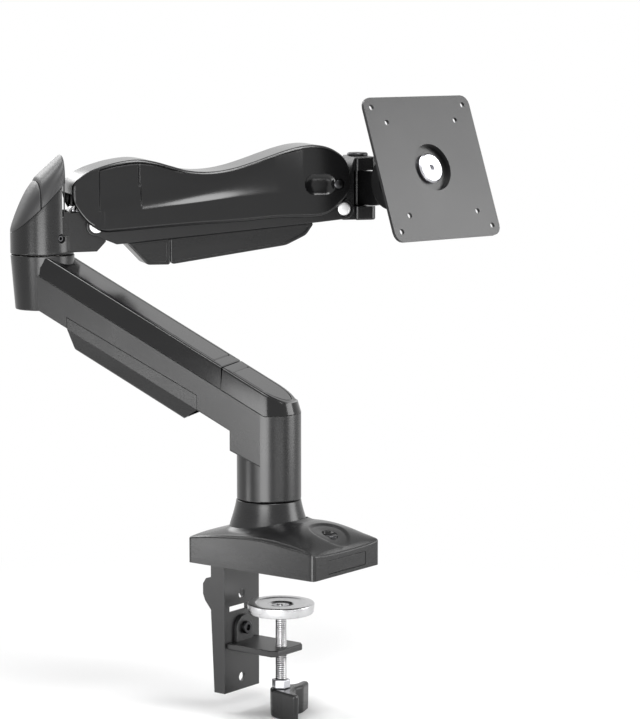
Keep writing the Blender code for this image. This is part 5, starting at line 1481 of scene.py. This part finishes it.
# Stage ------------------------------------------------------------------------------------------
@dataclass
class Studio:
    """Pale floor, white surround, soft lamps and the camera."""

    floor_z: float = -0.1201
    spot: tuple[float, float, float] = (-1.5486, -1.2301, 0.4093)
    pitch: float = 82.72
    heading: float = -52.68
    lens: float = 130.8
    surround: float = 0.12
    paper_cloud: float = 0.04
    paper_lit: float = 0.24
    paper_seen: float = 0.70
    paper_reach: float = 0.9
    paper_lift: float = 0.108
    fade_end: float = 0.42
    fade_start: float = 0.86

    def paper(self) -> bpy.types.Material:
        """White paper that keeps the arm's shadow near it, and runs out into plain white further off."""
        made = Recipe("stage_paper")
        in_view = made.plain_view()
        tone = made.noise(3.0, 2.0) * self.paper_cloud + self.paper_lit + in_view * self.paper_seen
        made.set(Base_Color=made.blend((0.0, 0.0, 0.0), (0.96, 0.96, 0.96), tone), Roughness=0.9)
        spot = made.node("ShaderNodeMapping", inputs={"Vector": made.where(),
                                                      "Scale": (self.paper_reach,) * 3,
                                                      "Location": (0.0, 0.0, self.paper_lift)})
        near = made.node("ShaderNodeTexGradient", {"gradient_type": "SPHERICAL"}, {"Vector": spot})
        share = made.node("ShaderNodeMapRange", {"interpolation_type": "SMOOTHSTEP"},
                          {"Value": near, 1: self.fade_end, 2: self.fade_start})
        glow = made.node("ShaderNodeEmission", inputs={"Color": WHITE, "Strength": 1.0})
        made.surface(in_view * (1.0 - share), Wire(made, made.shader.outputs[0]), glow)
        return made.material

    def floor(self) -> None:
        """A wide flat sheet under the arm."""
        side = np.linspace(-6.0, 6.0, 13)
        x, y = np.meshgrid(side, side)
        number = np.arange(x.size).reshape(x.shape)
        faces = np.stack([number[:-1, :-1], number[:-1, 1:], number[1:, 1:], number[1:, :-1]], -1).reshape(-1,
                                                                                                           4)
        mesh = bpy.data.meshes.new("stage_floor")
        mesh.from_pydata(np.column_stack([x.ravel(), y.ravel(), np.full(x.size, self.floor_z)]).tolist(), [],
                         faces.tolist())
        sheet = bpy.data.objects.new("stage_floor", mesh)
        bpy.context.scene.collection.objects.link(sheet)
        mesh.materials.append(self.paper())

    def world(self) -> None:
        """Plain white to the eye and to mirrors, and a soft grey light on the object."""
        world = bpy.data.worlds.new("surround")
        bpy.context.scene.world = world
        world.use_nodes = True
        made = Nodes(world.node_tree)
        white = made.node("ShaderNodeBackground", inputs={"Color": WHITE, "Strength": 1.0})
        soft = made.node("ShaderNodeBackground", inputs={"Color": WHITE, "Strength": self.surround})
        made.surface(made.plain_view(), soft, white)

    def lamp(self, name: str, spot: tuple[float, float, float], aim: tuple[float, float, float],
             size: Point, power: float) -> None:
        """One soft rectangular lamp, turned to a point."""
        data = bpy.data.lights.new(name, "AREA")
        data.shape, data.size, data.size_y, data.energy = "RECTANGLE", *size, power
        lamp = bpy.data.objects.new(name, data)
        lamp.location = spot
        run = np.array(aim) - np.array(spot)
        run /= np.linalg.norm(run)
        lamp.rotation_euler = (math.acos(-run[2]), 0.0, math.atan2(run[1], run[0]) - math.pi / 2)
        bpy.context.scene.collection.objects.link(lamp)

    def camera(self) -> None:
        """The camera, level apart from its small downward pitch."""
        data = bpy.data.cameras.new("view")
        data.lens, data.sensor_width, data.sensor_fit = self.lens, 36.0, "AUTO"
        camera = bpy.data.objects.new("view", data)
        camera.location = self.spot
        camera.rotation_euler = (math.radians(self.pitch), 0.0, math.radians(self.heading))
        bpy.context.scene.collection.objects.link(camera)
        bpy.context.scene.camera = camera

    def build(self) -> None:
        """Set the whole stage."""
        bpy.context.scene.view_settings.view_transform = "Standard"
        self.floor()
        self.world()
        aim = (0.03, 0.04, 0.15)
        self.lamp("near_panel", (-0.46, -0.19, 0.05), aim, (0.28, 0.40), 3.2)
        self.lamp("left_wall", (-1.53, 0.05, -0.04), (0.0, 0.08, 0.05), (0.45, 0.16), 2.6)
        self.lamp("base_card", (-0.43, 0.36, -0.06), (-0.04, 0.04, 0.0), (0.14, 0.10), 0.35)
        self.lamp("right_panel", (0.78, -1.04, 0.35), aim, (0.62, 1.2), 16.0)
        self.lamp("low_card", (-0.25, -0.95, -0.09), (0.03, 0.08, 0.24), (0.6, 0.12), 1.1)
        self.lamp("overhead_front", (-0.20, -0.65, 1.40), aim, (0.5, 0.5), 10.0)
        self.lamp("overhead", (-0.05, -0.12, 1.50), aim, (0.4, 0.4), 8.0)
        self.lamp("left_high", (-0.22, 0.95, 1.25), aim, (0.5, 0.5), 7.0)
        self.lamp("behind", (0.55, 1.30, 0.80), aim, (0.5, 0.5), 4.0)
        self.camera()


def main() -> None:
    """Build every sub-assembly in order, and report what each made."""
    logging.basicConfig(level=logging.INFO, format="%(name)s %(message)s")
    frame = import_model()
    places = Places.from_joints(frame["joints"])
    dresser = Dresser(frame["nodes"])
    Studio().build()
    Base(places.base).build(dresser)
    Clamp(places.clamp).build(dresser, places.base)
    LowerArm(places.lower).build(dresser)
    Elbow(places.upper).build(dresser)
    UpperArm(places.upper).build(dresser)
    LowerLink(places.upper).build(dresser)
    GasSpring(places.spring).build(dresser)
    Head(places.upper, places.wrist, places.tilt).build(dresser)
    left = sorted(set(frame["nodes"]) - dresser.done)
    log.info("nodes without a finish: %s", ", ".join(left) or "none")


if __name__ == "__main__":
    main()
